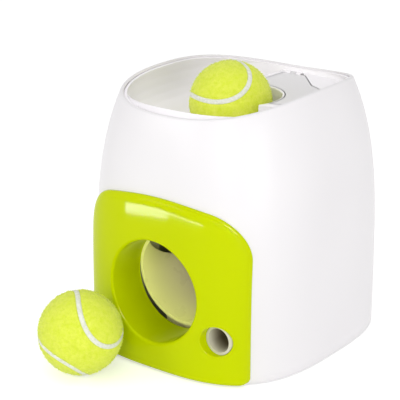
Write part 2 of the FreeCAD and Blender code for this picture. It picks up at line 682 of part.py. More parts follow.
# ---------------------------------------------------------------- frames
def frame_profile():
    boss = HUB_RADIUS + 3.0
    return [
        (FRAME_FRONT, BASE_TOP),
        (FRAME_FRONT, LEVER_Z - FRAME_FRONT_DROP),
        (LEVER_Y - boss, LEVER_Z - 14),
        (LEVER_Y - boss, LEVER_Z + 2),
        (LEVER_Y - boss / 2, LEVER_Z + boss - 1),
        (LEVER_Y + boss / 2, LEVER_Z + boss - 1),
        (TAB_Y + TAB_DEPTH / 2, TAB_Z + FRAME_THICK),
    ] + [(LEVER_Y + behind, LEVER_Z - below) for behind, below in FRAME_TOP_EDGE] + [
        (FRAME_BACK, LEVER_Z - FRAME_BACK_DROP),
        (FRAME_BACK, BASE_TOP),
    ]


def frame_window():
    low = BASE_TOP + WINDOW_RISE
    edge = [(LEVER_Y + behind, LEVER_Z - below) for behind, below in WINDOW_EDGE]
    return [(edge[0][0], low)] + edge + [(edge[-1][0], low)]


def make_side_frame(side):
    """The left frame is side -1 and the right one, which also carries the drum, side 1."""
    inner, outer = FRAME_X, FRAME_OUT
    frame = along_x(frame_profile(), inner, outer)
    frame = frame.cut(along_x(frame_window(), inner - 1, outer + 1))
    flange = box(outer - 0.5, outer + FRAME_FLANGE, FRAME_FRONT + 8, FRAME_BACK,
                 BASE_TOP, BASE_TOP + FRAME_THICK)
    tab = box(inner - TAB_REACH, inner + 0.5, TAB_Y - TAB_DEPTH / 2, TAB_Y + TAB_DEPTH / 2,
              TAB_Z, TAB_Z + FRAME_THICK)
    frame = fused([frame, flange, tab])
    bush_hole = SHAFT_RADIUS + RUN_FIT + BUSH_WALL + SEAT_FIT
    frame = frame.cut(rod(bush_hole, V(inner - 1, LEVER_Y, LEVER_Z), V(outer + 1, LEVER_Y, LEVER_Z)))
    if side > 0:
        frame = frame.cut(rod(bush_hole, V(inner - 1, DRUM_Y, DRUM_Z), V(outer + 1, DRUM_Y, DRUM_Z)))
        for y, z in STANDOFFS:
            frame = frame.cut(through(inner - 1, y, z, FRAME_THICK + 2, ALONG_X))
    for x, y in FRAME_SCREWS:
        if x > 0:
            frame = frame.cut(through(x, y, BASE_TOP - 1, 10, UP))
    for x, y in TAB_BOSSES:
        if x > 0:
            frame = frame.cut(through(x, y, TAB_Z - 1, 10, UP))
    if side < 0:
        frame = frame.mirror(V(0, 0, 0), ALONG_X)
    return frame


def bush(x_face, way, y, z):
    """A flanged bush whose flange lies on the frame's face at x_face, away from way."""
    inner = SHAFT_RADIUS + RUN_FIT
    outer = inner + BUSH_WALL
    body = ring(outer, inner, V(x_face, y, z), V(x_face + way * FRAME_THICK, y, z))
    flange = ring(BUSH_FLANGE_RADIUS, inner, V(x_face - way * BUSH_FLANGE_THICK, y, z), V(x_face, y, z))
    return body.fuse(flange).removeSplitter()


def make_lever_bushes():
    return grouped([bush(FRAME_OUT, -1, LEVER_Y, LEVER_Z), bush(-FRAME_OUT, 1, LEVER_Y, LEVER_Z)])


def make_drum_bush():
    return bush(FRAME_OUT, -1, DRUM_Y, DRUM_Z)


# ---------------------------------------------------------------- lever and gears
LEVER_SHAFT_LEFT = -(FRAME_OUT + 12.5)
LEVER_SHAFT_RIGHT = GEAR_X + GEAR_WIDTH + 1.9


def shaft_seat(y, z, x0, x1):
    """The bore of what sits fast on a shaft, from x0 to x1."""
    return rod(SHAFT_RADIUS + SEAT_FIT, V(x0 - 1, y, z), V(x1 + 1, y, z))


def make_lever_shaft():
    return rod(SHAFT_RADIUS, V(LEVER_SHAFT_LEFT, LEVER_Y, LEVER_Z), V(LEVER_SHAFT_RIGHT, LEVER_Y, LEVER_Z))


def make_ball_lever():
    inner = BALL_RADIUS + CLEAR
    outer = inner + CUP_WALL
    y0, y1 = BALL_REST_Y - CUP_REACH, BALL_REST_Y + CUP_REACH
    cup = ring(outer, inner, V(0, y0, BALL_REST_Z), V(0, y1, BALL_REST_Z))
    spread = math.radians(CUP_SPREAD)
    reach = 2 * outer
    wedge_points = [V(0, y0 - 1, BALL_REST_Z)]
    wedge_points.append(V(-reach * math.sin(spread), y0 - 1, BALL_REST_Z - reach * math.cos(spread)))
    wedge_points.append(V(reach * math.sin(spread), y0 - 1, BALL_REST_Z - reach * math.cos(spread)))
    wedge = Part.Face(Part.makePolygon(wedge_points + wedge_points[:1])).extrude(V(0, y1 - y0 + 2, 0))
    cup = cup.common(wedge)
    cup_bottom = BALL_REST_Z - outer
    arm = along_x([
        (LEVER_Y, LEVER_Z - HUB_RADIUS + 0.5),
        (LEVER_Y, LEVER_Z + HUB_RADIUS - 3.0),
        (y0 - 8, cup_bottom + 5),
        (y0 + 1, cup_bottom + 1.2),
        (y1 - 3, cup_bottom + 1.2),
        (y1 - 3, cup_bottom - 2.0),
        (y0 - 6, cup_bottom - 6.0),
    ], -ARM_HALF_WIDTH, ARM_HALF_WIDTH)
    arm = arm.cut(rod(inner + CUP_WALL / 2, V(0, y0 - 1, BALL_REST_Z), V(0, y1 + 1, BALL_REST_Z)))
    hub = rod(HUB_RADIUS, V(-HUB_HALF_LENGTH, LEVER_Y, LEVER_Z), V(HUB_HALF_LENGTH, LEVER_Y, LEVER_Z))
    lever = fused([cup, arm, hub])
    return lever.cut(shaft_seat(LEVER_Y, LEVER_Z, -HUB_HALF_LENGTH, HUB_HALF_LENGTH))


def involute_points(base, start, end, count):
    """Points (radius, angle) on an involute of the base circle between two radii."""
    points = []
    for step in range(count):
        radius = start + (end - start) * step / (count - 1)
        radius = max(radius, base)
        turn = math.sqrt((radius / base) ** 2 - 1)
        points.append((radius, turn - math.atan(turn)))
    return points


def gear_outline(teeth, first, last, centre_y, centre_z, phase, x):
    """Points of a spur gear's teeth first to last, each centred at phase plus its pitch."""
    pitch_radius = MODULE * teeth / 2
    base = pitch_radius * math.cos(math.radians(20))
    tip = pitch_radius + MODULE * 0.9
    root = pitch_radius - MODULE * 1.25
    half_tooth = math.pi / (2 * teeth) - BACKLASH / (2 * pitch_radius)
    at_pitch = involute_points(base, pitch_radius, pitch_radius, 2)[0][1]
    flank = involute_points(base, max(root, base), tip, 5)
    points = []
    for index in range(first, last + 1):
        middle = phase + 2 * math.pi * index / teeth
        rising = [(radius, middle - half_tooth - at_pitch + angle) for radius, angle in flank]
        falling = [(radius, middle + half_tooth + at_pitch - angle) for radius, angle in reversed(flank)]
        foot = half_tooth + at_pitch
        sides = [(root, middle - foot)] + rising + falling + [(root, middle + foot)]
        points += sides
    return [V(x, centre_y + radius * math.cos(angle), centre_z + radius * math.sin(angle))
            for radius, angle in points]


def clean_loop(points):
    kept = []
    for point in points:
        if not kept or point.sub(kept[-1]).Length > 0.02:
            kept.append(point)
    return kept + kept[:1]


def make_sector_gear():
    centre = (LEVER_Y, LEVER_Z)
    margin = 3
    swing = round(LEVER_TRAVEL / 360 * SECTOR_TEETH_FULL)
    teeth = gear_outline(SECTOR_TEETH_FULL, -margin, swing + margin, *centre, DRUM_ANGLE, GEAR_X)
    outline = clean_loop([V(GEAR_X, *centre)] + teeth)
    sector = Part.Face(Part.makePolygon(outline)).extrude(V(GEAR_WIDTH, 0, 0))
    hub = rod(HUB_RADIUS + 1, V(GEAR_X, *centre), V(GEAR_X + GEAR_WIDTH, *centre))
    sector = sector.fuse(hub)
    return sector.cut(shaft_seat(LEVER_Y, LEVER_Z, GEAR_X, GEAR_X + GEAR_WIDTH))


def make_drum_pinion():
    centre = (DRUM_Y, DRUM_Z)
    phase = DRUM_ANGLE + math.pi + math.pi / PINION_TEETH
    teeth = gear_outline(PINION_TEETH, 0, PINION_TEETH - 1, *centre, phase, GEAR_X)
    pinion = Part.Face(Part.makePolygon(clean_loop(teeth))).extrude(V(GEAR_WIDTH, 0, 0))
    return pinion.cut(shaft_seat(DRUM_Y, DRUM_Z, GEAR_X, GEAR_X + GEAR_WIDTH))


def make_spring_collar():
    x0 = LEVER_SHAFT_LEFT + 1.2
    x1 = x0 + 2.8
    collar = ring(6.0, SHAFT_RADIUS + SEAT_FIT, V(x0, LEVER_Y, LEVER_Z), V(x1, LEVER_Y, LEVER_Z))
    ear = box(x0, x1, LEVER_Y - 9.5, LEVER_Y - 5.0, LEVER_Z - 1.5, LEVER_Z + 1.5)
    collar = collar.fuse(ear).removeSplitter()
    return collar


def make_return_spring():
    """A torsion spring round the shaft's left end, drawn as its close-wound coils."""
    wire = 0.5
    mean = 5.0
    x0 = LEVER_SHAFT_LEFT + 4.0 + CLEAR + wire
    turns = 5
    coils = []
    for turn in range(turns):
        coils.append(Part.makeTorus(mean, wire, V(x0 + turn * 2 * wire * 1.02, LEVER_Y, LEVER_Z), ALONG_X))
    return grouped(coils)


def make_shaft_clips():
    clips = []
    ends = [
        (LEVER_SHAFT_LEFT + 0.2, LEVER_Y, LEVER_Z),
        (LEVER_SHAFT_RIGHT - 0.2 - CLIP_THICK, LEVER_Y, LEVER_Z),
    ]
    for x, y, z in ends:
        clip = ring(CLIP_RADIUS, SHAFT_RADIUS + SEAT_FIT, V(x, y, z), V(x + CLIP_THICK, y, z))
        clips.append(clip.cut(box(x - 1, x + 2, y - 2.2, y + 2.2, z, z + 9)))
    return grouped(clips)


# ---------------------------------------------------------------- drum, housing, hopper, treat chute
def make_drum_shaft():
    start = FRAME_X - 1.5
    return rod(SHAFT_RADIUS, V(start, DRUM_Y, DRUM_Z), V(HOUSING_END + 2.0, DRUM_Y, DRUM_Z))


def make_portion_drum():
    drum = rod(DRUM_RADIUS, V(DRUM_X, DRUM_Y, DRUM_Z), V(DRUM_X + DRUM_LENGTH, DRUM_Y, DRUM_Z))
    for index in range(DRUM_POCKETS):
        angle = math.radians(90 + 360 * index / DRUM_POCKETS)
        y = DRUM_Y + POCKET_DEPTH_RADIUS * math.cos(angle)
        z = DRUM_Z + POCKET_DEPTH_RADIUS * math.sin(angle)
        drum = drum.cut(rod(POCKET_RADIUS, V(DRUM_X + POCKET_END_WALL, y, z),
                            V(DRUM_X + DRUM_LENGTH - POCKET_END_WALL, y, z)))
    return drum.cut(shaft_seat(DRUM_Y, DRUM_Z, DRUM_X, DRUM_X + DRUM_LENGTH))


def make_drum_housing():
    start, end = V(HOUSING_X, DRUM_Y, DRUM_Z), V(HOUSING_END, DRUM_Y, DRUM_Z)
    outer = rod(HOUSING_OUTER, start, end)
    inside = rod(HOUSING_INNER, V(HOUSING_X + HOUSING_WALL, DRUM_Y, DRUM_Z),
                 V(HOUSING_END - HOUSING_WALL, DRUM_Y, DRUM_Z))
    shaft_hole = rod(SHAFT_RADIUS + RUN_FIT, V(HOUSING_X - 1, DRUM_Y, DRUM_Z),
                     V(HOUSING_END + 1, DRUM_Y, DRUM_Z))
    opening = box(HOUSING_X + HOUSING_WALL, HOUSING_END - HOUSING_WALL, DRUM_Y - INLET_HALF,
                  DRUM_Y + INLET_HALF, DRUM_Z, DRUM_Z + 40)
    outlet = box(HOUSING_X + HOUSING_WALL, HOUSING_END - HOUSING_WALL, DRUM_Y - INLET_HALF,
                 DRUM_Y + INLET_HALF, DRUM_Z - 40, DRUM_Z)
    housing = outer.cut(inside).cut(shaft_hole).cut(opening).cut(outlet)
    for y, z in STANDOFFS:
        housing = housing.fuse(rod(STANDOFF_THICK, V(FRAME_OUT, y, z), V(HOUSING_X, y, z)))
        housing = housing.cut(pilot(FRAME_OUT - 1, y, z, 9, ALONG_X))
    return housing.removeSplitter()


def hopper_block(inset, top, floor_lift):
    """The hopper's form: a crescent under the lid that slopes to a shaft over the drum."""
    inner = LID_INNER_RADIUS + 1.0 + inset
    outer = LID_SHOULDER_RADIUS - inset
    start = LID_FRONT_ANGLE + math.degrees(inset / inner)
    end = LID_FRONT_ANGLE + HOPPER_SPAN_ANGLE - math.degrees(inset / inner)
    low = DRUM_Z + HOUSING_OUTER - 8
    half = (start + end) / 2
    edges = [
        Part.Arc(polar(inner, start, low), polar(inner, half, low), polar(inner, end, low)).toShape(),
        Part.makeLine(polar(inner, end, low), polar(outer, end, low)),
        Part.Arc(polar(outer, end, low), polar(outer, half, low), polar(outer, start, low)).toShape(),
        Part.makeLine(polar(outer, start, low), polar(inner, start, low)),
    ]
    crescent = Part.Face(Part.Wire(edges)).extrude(V(0, 0, top - low))
    # the sloping floor cuts the crescent off below
    slope = V(-0.55, 0.835, 0)
    far = V(slope).multiply(170)
    side = V(0.835, 0.55, 0).multiply(120)
    point = V(HOUSING_X + HOPPER_FLOOR_BESIDE, DRUM_Y, DRUM_Z + HOUSING_OUTER - 2 + floor_lift)
    rise = V(0, 0, 170 * HOPPER_FLOOR_SLOPE)
    near = V(slope).multiply(-60)
    fall = V(0, 0, -60 * HOPPER_FLOOR_SLOPE)
    corners = [
        point.add(near).add(fall).sub(side), point.add(near).add(fall).add(side),
        point.add(far).add(rise).add(side), point.add(far).add(rise).sub(side),
    ]
    floor_face = Part.Face(Part.makePolygon(corners + corners[:1]))
    crescent = crescent.common(floor_face.extrude(V(0, 0, 150)))
    well = box(HOUSING_X + inset, HOUSING_END - inset, DRUM_Y - INLET_HALF - HOPPER_WALL + inset,
               THROAT_Y + WELL_BEHIND_THROAT - inset, DRUM_Z + 20, THROAT_FOOT_Z - inset)
    well = well.common(floor_face.extrude(V(0, 0, 150)))
    return crescent.fuse(well)


def make_treat_hopper():
    top = DECK_UNDER
    outer = hopper_block(0, top, 0)
    inner = hopper_block(HOPPER_WALL, top + 5, HOPPER_WALL * 1.1)
    hopper = outer.cut(inner)
    neck = box(HOUSING_X + HOPPER_WALL, HOUSING_END - HOPPER_WALL, DRUM_Y - INLET_HALF,
               DRUM_Y + INLET_HALF, DRUM_Z, DRUM_Z + HOUSING_OUTER + 12)
    hopper = hopper.cut(neck)
    hopper = hopper.cut(rod(HOUSING_OUTER + CLEAR, V(HOUSING_X - 5, DRUM_Y, DRUM_Z),
                            V(HOUSING_END + 5, DRUM_Y, DRUM_Z)))
    hopper = hopper.common(deck_block(BASIN_WALL + CLEAR, TALL, 0).fuse(barrel(20, 0, THROAT_EDGE_Z - 3)))
    hopper = hopper.common(barrel(SHELL_WALL + 3, 0, TALL))
    solids = sorted(hopper.Solids, key=lambda solid: solid.Volume)
    return solids[-1].removeSplitter()


def make_hopper_wiper():
    """A rubber strip that wipes the drum level at the back edge of its inlet."""
    thick = 1.2
    y0 = DRUM_Y + INLET_HALF - thick
    bottom = DRUM_Z + math.sqrt(DRUM_RADIUS ** 2 - (y0 - DRUM_Y) ** 2) + 0.4
    return box(DRUM_X + 1, DRUM_X + DRUM_LENGTH - 1, y0, y0 + thick, bottom + CLEAR, bottom + 6)


def make_treat_chute():
    tube_outer = TUBE_RADIUS + TUBE_WALL
    front = front_y(TREAT_X - TUBE_RADIUS, TREAT_Z) + TREAT_SET_BACK
    bend_y = SPOUT_BEND.y
    back = bend_y - 2
    spout_top = V(HOUSING_X + SPOUT_LEAN, DRUM_Y + 1.0, SPOUT_MOUTH_Z - 4)
    spout_outer = SPOUT_RADIUS + TUBE_WALL
    mouth = (HOUSING_X, HOUSING_END, DRUM_Y - SPOUT_MOUTH_HALF, DRUM_Y + SPOUT_MOUTH_HALF)
    solid = fused([
        rod(tube_outer, V(TREAT_X, front, TREAT_Z), V(TREAT_X, back, TREAT_Z)),
        rod(spout_outer, SPOUT_BEND, spout_top),
        Part.makeSphere(spout_outer, SPOUT_BEND),
        box(*mouth, SPOUT_MOUTH_Z - 12, SPOUT_MOUTH_Z),
    ])
    inner_x0, inner_x1 = mouth[0] + TUBE_WALL, mouth[1] - TUBE_WALL
    inner_y0, inner_y1 = mouth[2] + TUBE_WALL, mouth[3] - TUBE_WALL
    hollow = fused([
        rod(TUBE_RADIUS, V(TREAT_X, front - 2, TREAT_Z), V(TREAT_X, back, TREAT_Z)),
        rod(SPOUT_RADIUS, SPOUT_BEND, spout_top),
        Part.makeSphere(SPOUT_RADIUS, SPOUT_BEND),
        box(inner_x0, inner_x1, inner_y0, inner_y1, SPOUT_MOUTH_Z - 10, SPOUT_MOUTH_Z + spout_outer),
    ])
    foot_front = bend_y - 12
    foot = box(TREAT_X - 2, TREAT_X + 2, foot_front, bend_y + 0.5, BASE_TOP, TREAT_Z - TUBE_RADIUS)
    foot_flange = box(TREAT_X - 5, TREAT_X + 10, foot_front, bend_y + 2.5, BASE_TOP, BASE_TOP + FRAME_THICK)
    chute = fused([solid, foot, foot_flange]).cut(hollow)
    for x, y in TUBE_SCREWS:
        chute = chute.cut(through(x, y, BASE_TOP - 1, 10, UP))
    return chute


# ---------------------------------------------------------------- ball chute
def chute_axis(y):
    return V(0, y, OUTLET_Z + (y - CHUTE_FRONT) * math.tan(math.radians(CHUTE_SLOPE)))


def chute_form(radius, front):
    end = chute_axis(CHUTE_BACK)
    return rod(radius, chute_axis(front), end).fuse(Part.makeSphere(radius, end))


def chute_foot(y):
    """A cross wall under the chute with a flange that is screwed to the base plate."""
    half = CHUTE_SCREW_X - SCREW_HEAD_RADIUS - 1.2
    wall = box(-half, half, y - 1.5, y + 1.5, BASE_TOP, OUTLET_Z - 15)
    reach = CHUTE_SCREW_X + 4
    return wall.fuse(box(-reach, reach, y - 6, y + 6, BASE_TOP, BASE_TOP + FRAME_THICK))


def make_ball_chute():
    chute = fused([chute_form(CHUTE_OUTER, CHUTE_FRONT + 4)] + [chute_foot(y) for y in CHUTE_FEET])
    for x, y in CHUTE_SCREWS:
        chute = chute.cut(through(x, y, BASE_TOP - 1, 10, UP))
    chute = chute.cut(chute_form(CHUTE_RADIUS, CHUTE_FRONT - 20))
    edge = [(CHUTE_FRONT + behind, OUTLET_Z + rise) for behind, rise in CHUTE_EDGE_FRONT]
    edge += [(CHUTE_BACK + behind, OUTLET_Z + rise) for behind, rise in CHUTE_EDGE_BACK]
    edge.append((CHUTE_BACK + CHUTE_OUTER + 2, OUTLET_Z + CHUTE_BACK_RISE))
    beside = -1.5 * CHUTE_OUTER
    over = OUTLET_Z + 3 * CHUTE_OUTER
    curve = Part.BSplineCurve()
    curve.interpolate([V(beside, y, z) for y, z in edge])
    top_left, top_right = V(beside, edge[0][0], over), V(beside, edge[-1][0], over)
    wire = Part.Wire([
        curve.toShape(),
        Part.makeLine(V(beside, *edge[-1]), top_right),
        Part.makeLine(top_right, top_left),
        Part.makeLine(top_left, V(beside, *edge[0])),
    ])
    chute = chute.cut(Part.Face(wire).extrude(V(-2 * beside, 0, 0)))
    return chute.removeSplitter()


# ---------------------------------------------------------------- screws and balls
def make_base_screws():
    seat = BASE_LIFT + SCREW_HEAD_THICK
    return grouped([screw(x, y, seat, 12, UP) for x, y in SHELL_BOSSES])


def make_post_screws():
    seat = BASE_LIFT + SCREW_HEAD_THICK
    return grouped([screw(x, y, seat, 14, UP) for x, y in POSTS])


def make_floor_screws():
    return grouped([screw(x, y, BASE_TOP + FRAME_THICK, 4.6, V(0, 0, -1)) for x, y in FLOOR_SCREWS])


def make_housing_screws():
    return grouped([screw(FRAME_X, y, z, 8, ALONG_X) for y, z in STANDOFFS])


def make_basin_screws():
    return grouped([screw(x, y, TAB_Z, 8, UP) for x, y in TAB_BOSSES])


def make_panel_screws():
    screws = []
    for x, z in PANEL_SCREWS:
        wall_y = front_y(abs(x) + SCREW_HEAD_RADIUS, z + SCREW_HEAD_RADIUS, SHELL_WALL)
        screws.append(screw(x, wall_y + 0.1, z, 5.2, TO_FRONT))
    return grouped(screws)


def make_ball_core(centre):
    radius = BALL_RADIUS - FELT_THICK - CLEAR
    return Part.makeSphere(radius, centre).cut(Part.makeSphere(radius - CORE_WALL, centre))


def make_ball_felt(centre):
    return Part.makeSphere(BALL_RADIUS, centre).cut(Part.makeSphere(BALL_RADIUS - FELT_THICK, centre))


# ---------------------------------------------------------------- write every sub-part
save("body_shell", make_body_shell())
save("front_panel", make_front_panel())
save("base_plate", make_base_plate())
save("floor_pads", make_floor_pads())
save("top_basin", make_top_basin())
save("treat_lid", make_treat_lid())
save("lid_hinge_pin", make_lid_pin())
save("lever_bumper", make_lever_bumper())
save("left_frame", make_side_frame(-1))
save("right_frame", make_side_frame(1))
save("lever_bushes", make_lever_bushes())
save("drum_bush", make_drum_bush())
save("lever_shaft", make_lever_shaft())
save("ball_lever", make_ball_lever())
save("sector_gear", make_sector_gear())
save("spring_collar", make_spring_collar())
save("return_spring", make_return_spring())
save("shaft_clips", make_shaft_clips())
save("drum_shaft", make_drum_shaft())
save("drum_pinion", make_drum_pinion())
save("portion_drum", make_portion_drum())
save("drum_housing", make_drum_housing())
save("treat_hopper", make_treat_hopper())
save("hopper_wiper", make_hopper_wiper())
save("treat_chute", make_treat_chute())
save("ball_chute", make_ball_chute())
save("base_screws", make_base_screws())
save("post_screws", make_post_screws())
save("floor_screws", make_floor_screws())
save("housing_screws", make_housing_screws())
save("basin_screws", make_basin_screws())
save("panel_screws", make_panel_screws())
save("loaded_ball_core", make_ball_core(IN_BALL))
save("loaded_ball_felt", make_ball_felt(IN_BALL))
save("floor_ball_core", make_ball_core(OUT_BALL))
save("floor_ball_felt", make_ball_felt(OUT_BALL))
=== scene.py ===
import json
import math

import bmesh
import bpy
import numpy as np
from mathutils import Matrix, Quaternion, Vector


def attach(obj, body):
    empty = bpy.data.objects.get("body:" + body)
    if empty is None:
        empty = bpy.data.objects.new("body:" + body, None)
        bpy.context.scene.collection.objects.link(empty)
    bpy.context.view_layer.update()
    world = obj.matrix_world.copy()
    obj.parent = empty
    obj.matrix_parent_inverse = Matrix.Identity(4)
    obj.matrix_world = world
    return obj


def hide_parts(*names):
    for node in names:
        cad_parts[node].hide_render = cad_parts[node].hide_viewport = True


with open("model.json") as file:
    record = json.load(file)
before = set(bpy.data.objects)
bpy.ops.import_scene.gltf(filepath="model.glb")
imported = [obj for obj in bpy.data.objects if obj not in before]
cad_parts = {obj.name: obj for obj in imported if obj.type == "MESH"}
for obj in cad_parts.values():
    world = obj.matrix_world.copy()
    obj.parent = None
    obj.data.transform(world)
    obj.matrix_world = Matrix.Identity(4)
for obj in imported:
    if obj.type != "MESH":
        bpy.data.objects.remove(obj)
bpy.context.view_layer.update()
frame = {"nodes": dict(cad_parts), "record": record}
nodes = frame["nodes"]

# ---------------------------------------------------------------- sizes in millimetres
MM = 0.001
HALF_WIDTH, HALF_DEPTH = 95.2, 106.3
BARREL_HEIGHT, TAPER_POWER = 206.0, 4.32
TOP_WIDTH_RATIO, TOP_DEPTH_RATIO = 0.817, 0.838
PLAN_POWER_BASE, PLAN_POWER_TOP = 3.06, 2.66
SHELL_WALL, SHELL_LIFT, SHELL_FOOT_CHAMFER, SHELL_ROUND = 3.0, 1.0, 0.5, 1.45
RIM_MEAN, RIM_SADDLE, RIM_BACK_RISE = 203.6, 5.9, 2.0

PANEL_PROUD, PANEL_BACK = 4.0, 0.3
PANEL_HALF_WIDTH, PANEL_TOP, PANEL_CROWN = 75.0, 137.0, 4.0
PANEL_CORNER, PANEL_FOOT_CORNER = 36.0, 5.0
PANEL_ROUND, PANEL_FOOT_ROUND, PANEL_ROUND_POWER = 8.0, 3.5, 0.8
# the panel's rounding grows from the foot's to the full one over this climb
PANEL_ROUND_FROM, PANEL_ROUND_CLIMB = 8.0, 40.0
PANEL_EDGE_PROUD = 0.9
OUTLET_Z, OUTLET_RADIUS, SLEEVE_WALL = 63.5, 40.0, 2.5
SLEEVE_END, SLEEVE_GAP = -74.6, 0.6
OUTLET_ROUND = 2.2
TREAT_X, TREAT_Z, TREAT_RADIUS, TREAT_LIP_WALL = 55.5, 36.0, 11.6, 1.8
TREAT_LIP_DEPTH, TREAT_LIP_SET_IN, TREAT_LIP_GAP, TREAT_LIP_BITE = 12.0, 0.6, 0.5, 0.2
# y of the ends of the bars that cut the outlets' ways
BEFORE_PANEL, BEHIND_WALL, BEHIND_PANEL = -130.0, -40.0, -60.0

THROAT_Y, THROAT_RADIUS = -9.0, 37.5
THROAT_FOOT_Z, THROAT_RIM_Z = 166.2, 172.2
# the throat's collar from its foot up to its rounded rim: distance out and height
COLLAR_PROFILE = ((0.0, THROAT_FOOT_Z), (0.0, 168.5), (0.0, 170.6), (0.15, 171.4), (0.5, 171.9))
# and its back: heights below the bowl, and how much further out it lies below the deck
COLLAR_BACK_TOP, COLLAR_BACK_MIDDLE, DECK_COLLAR_STEP = 169.7, 169.0, 0.6
BASIN_WALL, BASIN_GAP, BASIN_ROUND, RIM_STEP = 2.5, 0.3, 1.1, 1.4
BASIN_OUTSIDE = SHELL_WALL + BASIN_GAP
BASIN_INSIDE = BASIN_OUTSIDE + BASIN_WALL
BASIN_WALL_FROM, BASIN_WALL_LEVEL, BASIN_RIM_LEVEL = 199.2, 200.0, 203.0
BASIN_OUTSIDE_LEVELS = (190.0, 186.0)
# the bowl's heights at distances from the throat's edge, and then at distances from the wall
BOWL_FROM_THROAT = ((0.0, 171.2), (1.6, 172.3), (4.0, 172.9), (12.0, 174.4))
BOWL_FROM_WALL = ((17.0, 178.6), (10.0, 181.7), (5.0, 186.4), (2.0, 191.2), (0.6, 196.5), (0.0, 199.0))
DECK_Z, DECK_WALL_AT, DECK_WALL_LEAN, DECK_ROUND = 196.0, 1.0, 0.1, 1.5
DECK_HEEL, DECK_FILLET = 4.0, 3.0
DECK_FRONT_ANGLE, DECK_BACK_ANGLE = -24.0, 112.0
DECK_FRONT_RISE, DECK_BACK_LEAN = 8.0, -2.0
# degrees from the deck's ends past which its underside is hidden and plain
DECK_END_TURN = 3.95

LID_THICK, LID_GAP, LID_ROUND, LID_FOOT_CHAMFER = 2.5, 0.5, 0.7, 0.3
LID_INNER_RADIUS, LID_SHOULDER_RADIUS = 41.0, 68.0
LID_FRONT_ANGLE, LID_SHOULDER_START, LID_SHOULDER_END = -11.0, 19.0, 60.0
LID_SHOULDER_DROP, LID_SHOULDER_BULGE = 6.0, 4.0
LID_NOSE_OUT, LID_NOSE_BACK = 1.0, 6.0
LID_NECK_LEFT, LID_NECK_RIGHT = -10.0, 6.0
HINGE_Y, KNUCKLE_RADIUS, KNUCKLE_GAP, KNUCKLE_END = 79.0, 2.3, 0.4, 0.25

BALL_RADIUS, FELT_BELOW_NAP, FELT_LUMPS = 32.7, 0.75, 0.08
SEAM_HALF_WIDTH, SEAM_GROOVE_DEPTH, SEAM_GROOVE_WIDER = 1.9, 0.9, 1.35
SEAM_WIDE, SEAM_NARROW = 0.72, 0.28
# the seam's line, across in half widths and up in millimetres from the ball's radius
SEAM_PROFILE = ((-1.0, -1.3), (-1.0, -0.95), (-0.6, -0.62), (0.0, -0.5),
                (0.6, -0.62), (1.0, -0.95), (1.0, -1.3))
LUMP_WAVES = ((31.0, 17.0, 23.0), (-13.0, 37.0, 19.0))
FIBRE_TILT, FIBRE_LIFT, FIBRE_SCALES = 0.9, 0.35, (0.5, 1.3)
LOADED_BALL_AT, FLOOR_BALL_AT = (0, -11, 190), (-40, -145, BALL_RADIUS)
LOADED_BALL_TURN = Quaternion((-0.2222, -0.6874, 0.0539, -0.6893))
FLOOR_BALL_TURN = Quaternion((0.727, -0.5453, -0.2771, 0.3121))

FLOOR_HALF, FLOOR_Z = 4000, -0.3

# ---------------------------------------------------------------- studio in metres and watts
CAMERA_PLACE, CAMERA_TARGET = (0.5939, -0.8217, 0.4451), (-0.0227, -0.0204, 0.1079)
CAMERA_LENS, SENSOR_WIDTH = 120.6, 36
SKY_ON_OBJECT, FLOOR_GLOW = 0.62, 0.45
# each lamp's place, the point it is aimed at, its width and height, its power and its colour
LAMPS = {
    "key": ((-0.80, -1.35, 0.62), (0, 0, 0.12), 0.55, 0.55, 3.9),
    "front": ((0.55, -1.25, 0.55), (0, 0, 0.09), 0.5, 0.5, 2.8),
    "fill": ((1.45, -0.55, 0.42), (0, 0, 0.11), 0.9, 0.9, 6.5),
    "top": ((0.1, -0.5, 1.7), (0, 0, 0.1), 1.2, 1.2, 2.2),
    "low card": ((-0.292, -0.437, 0.037), (-0.005, -0.108, 0.128), 0.13, 0.036, 0.75),
    "low edge": ((-0.128, -0.505, 0.042), (0.03, -0.108, 0.128), 0.22, 0.010, 0.5),
    "corner card": ((0.75, -0.15, 0.80), (0.06, -0.09, 0.12), 0.5, 0.5, 40),
    "run card": ((0.40, -0.70, 0.33), (0, -0.05, 0.06), 0.2, 0.2, 1.8),
    "basin card": ((-0.1, -0.1, 0.95), (0, 0, 0.2), 0.5, 0.5, 1.6, (0.97, 0.94, 1.0)),
}
PANEL_LAMPS = ("low card", "low edge", "corner card")


# ---------------------------------------------------------------- node materials
def tree_of(name):
    """A new material with its node tree and its shader."""
    material = bpy.data.materials.new(name)
    material.use_nodes = True
    tree = material.node_tree
    tree.nodes.clear()
    output = tree.nodes.new("ShaderNodeOutputMaterial")
    shader = tree.nodes.new("ShaderNodeBsdfPrincipled")
    tree.links.new(shader.outputs["BSDF"], output.inputs["Surface"])
    return material, tree, shader


def noise(tree, scale, detail=3.0, roughness=0.5, stretch=(1, 1, 1)):
    """Noise on the piece's own coordinates, mostly between 0.3 and 0.7."""
    coordinates = tree.nodes.new("ShaderNodeTexCoord")
    mapping = tree.nodes.new("ShaderNodeMapping")
    mapping.inputs["Scale"].default_value = stretch
    texture = tree.nodes.new("ShaderNodeTexNoise")
    texture.inputs["Scale"].default_value = scale
    texture.inputs["Detail"].default_value = detail
    texture.inputs["Roughness"].default_value = roughness
    tree.links.new(coordinates.outputs["Object"], mapping.inputs["Vector"])
    tree.links.new(mapping.outputs["Vector"], texture.inputs["Vector"])
    return texture.outputs["Fac"]


def spread(tree, value, low, high, start=0.3, end=0.7):
    """The value's stretch from start to end, spread from low to high."""
    ranged = tree.nodes.new("ShaderNodeMapRange")
    ranged.inputs["From Min"].default_value = start
    ranged.inputs["From Max"].default_value = end
    ranged.inputs["To Min"].default_value = low
    ranged.inputs["To Max"].default_value = high
    tree.links.new(value, ranged.inputs["Value"])
    return ranged.outputs["Result"]


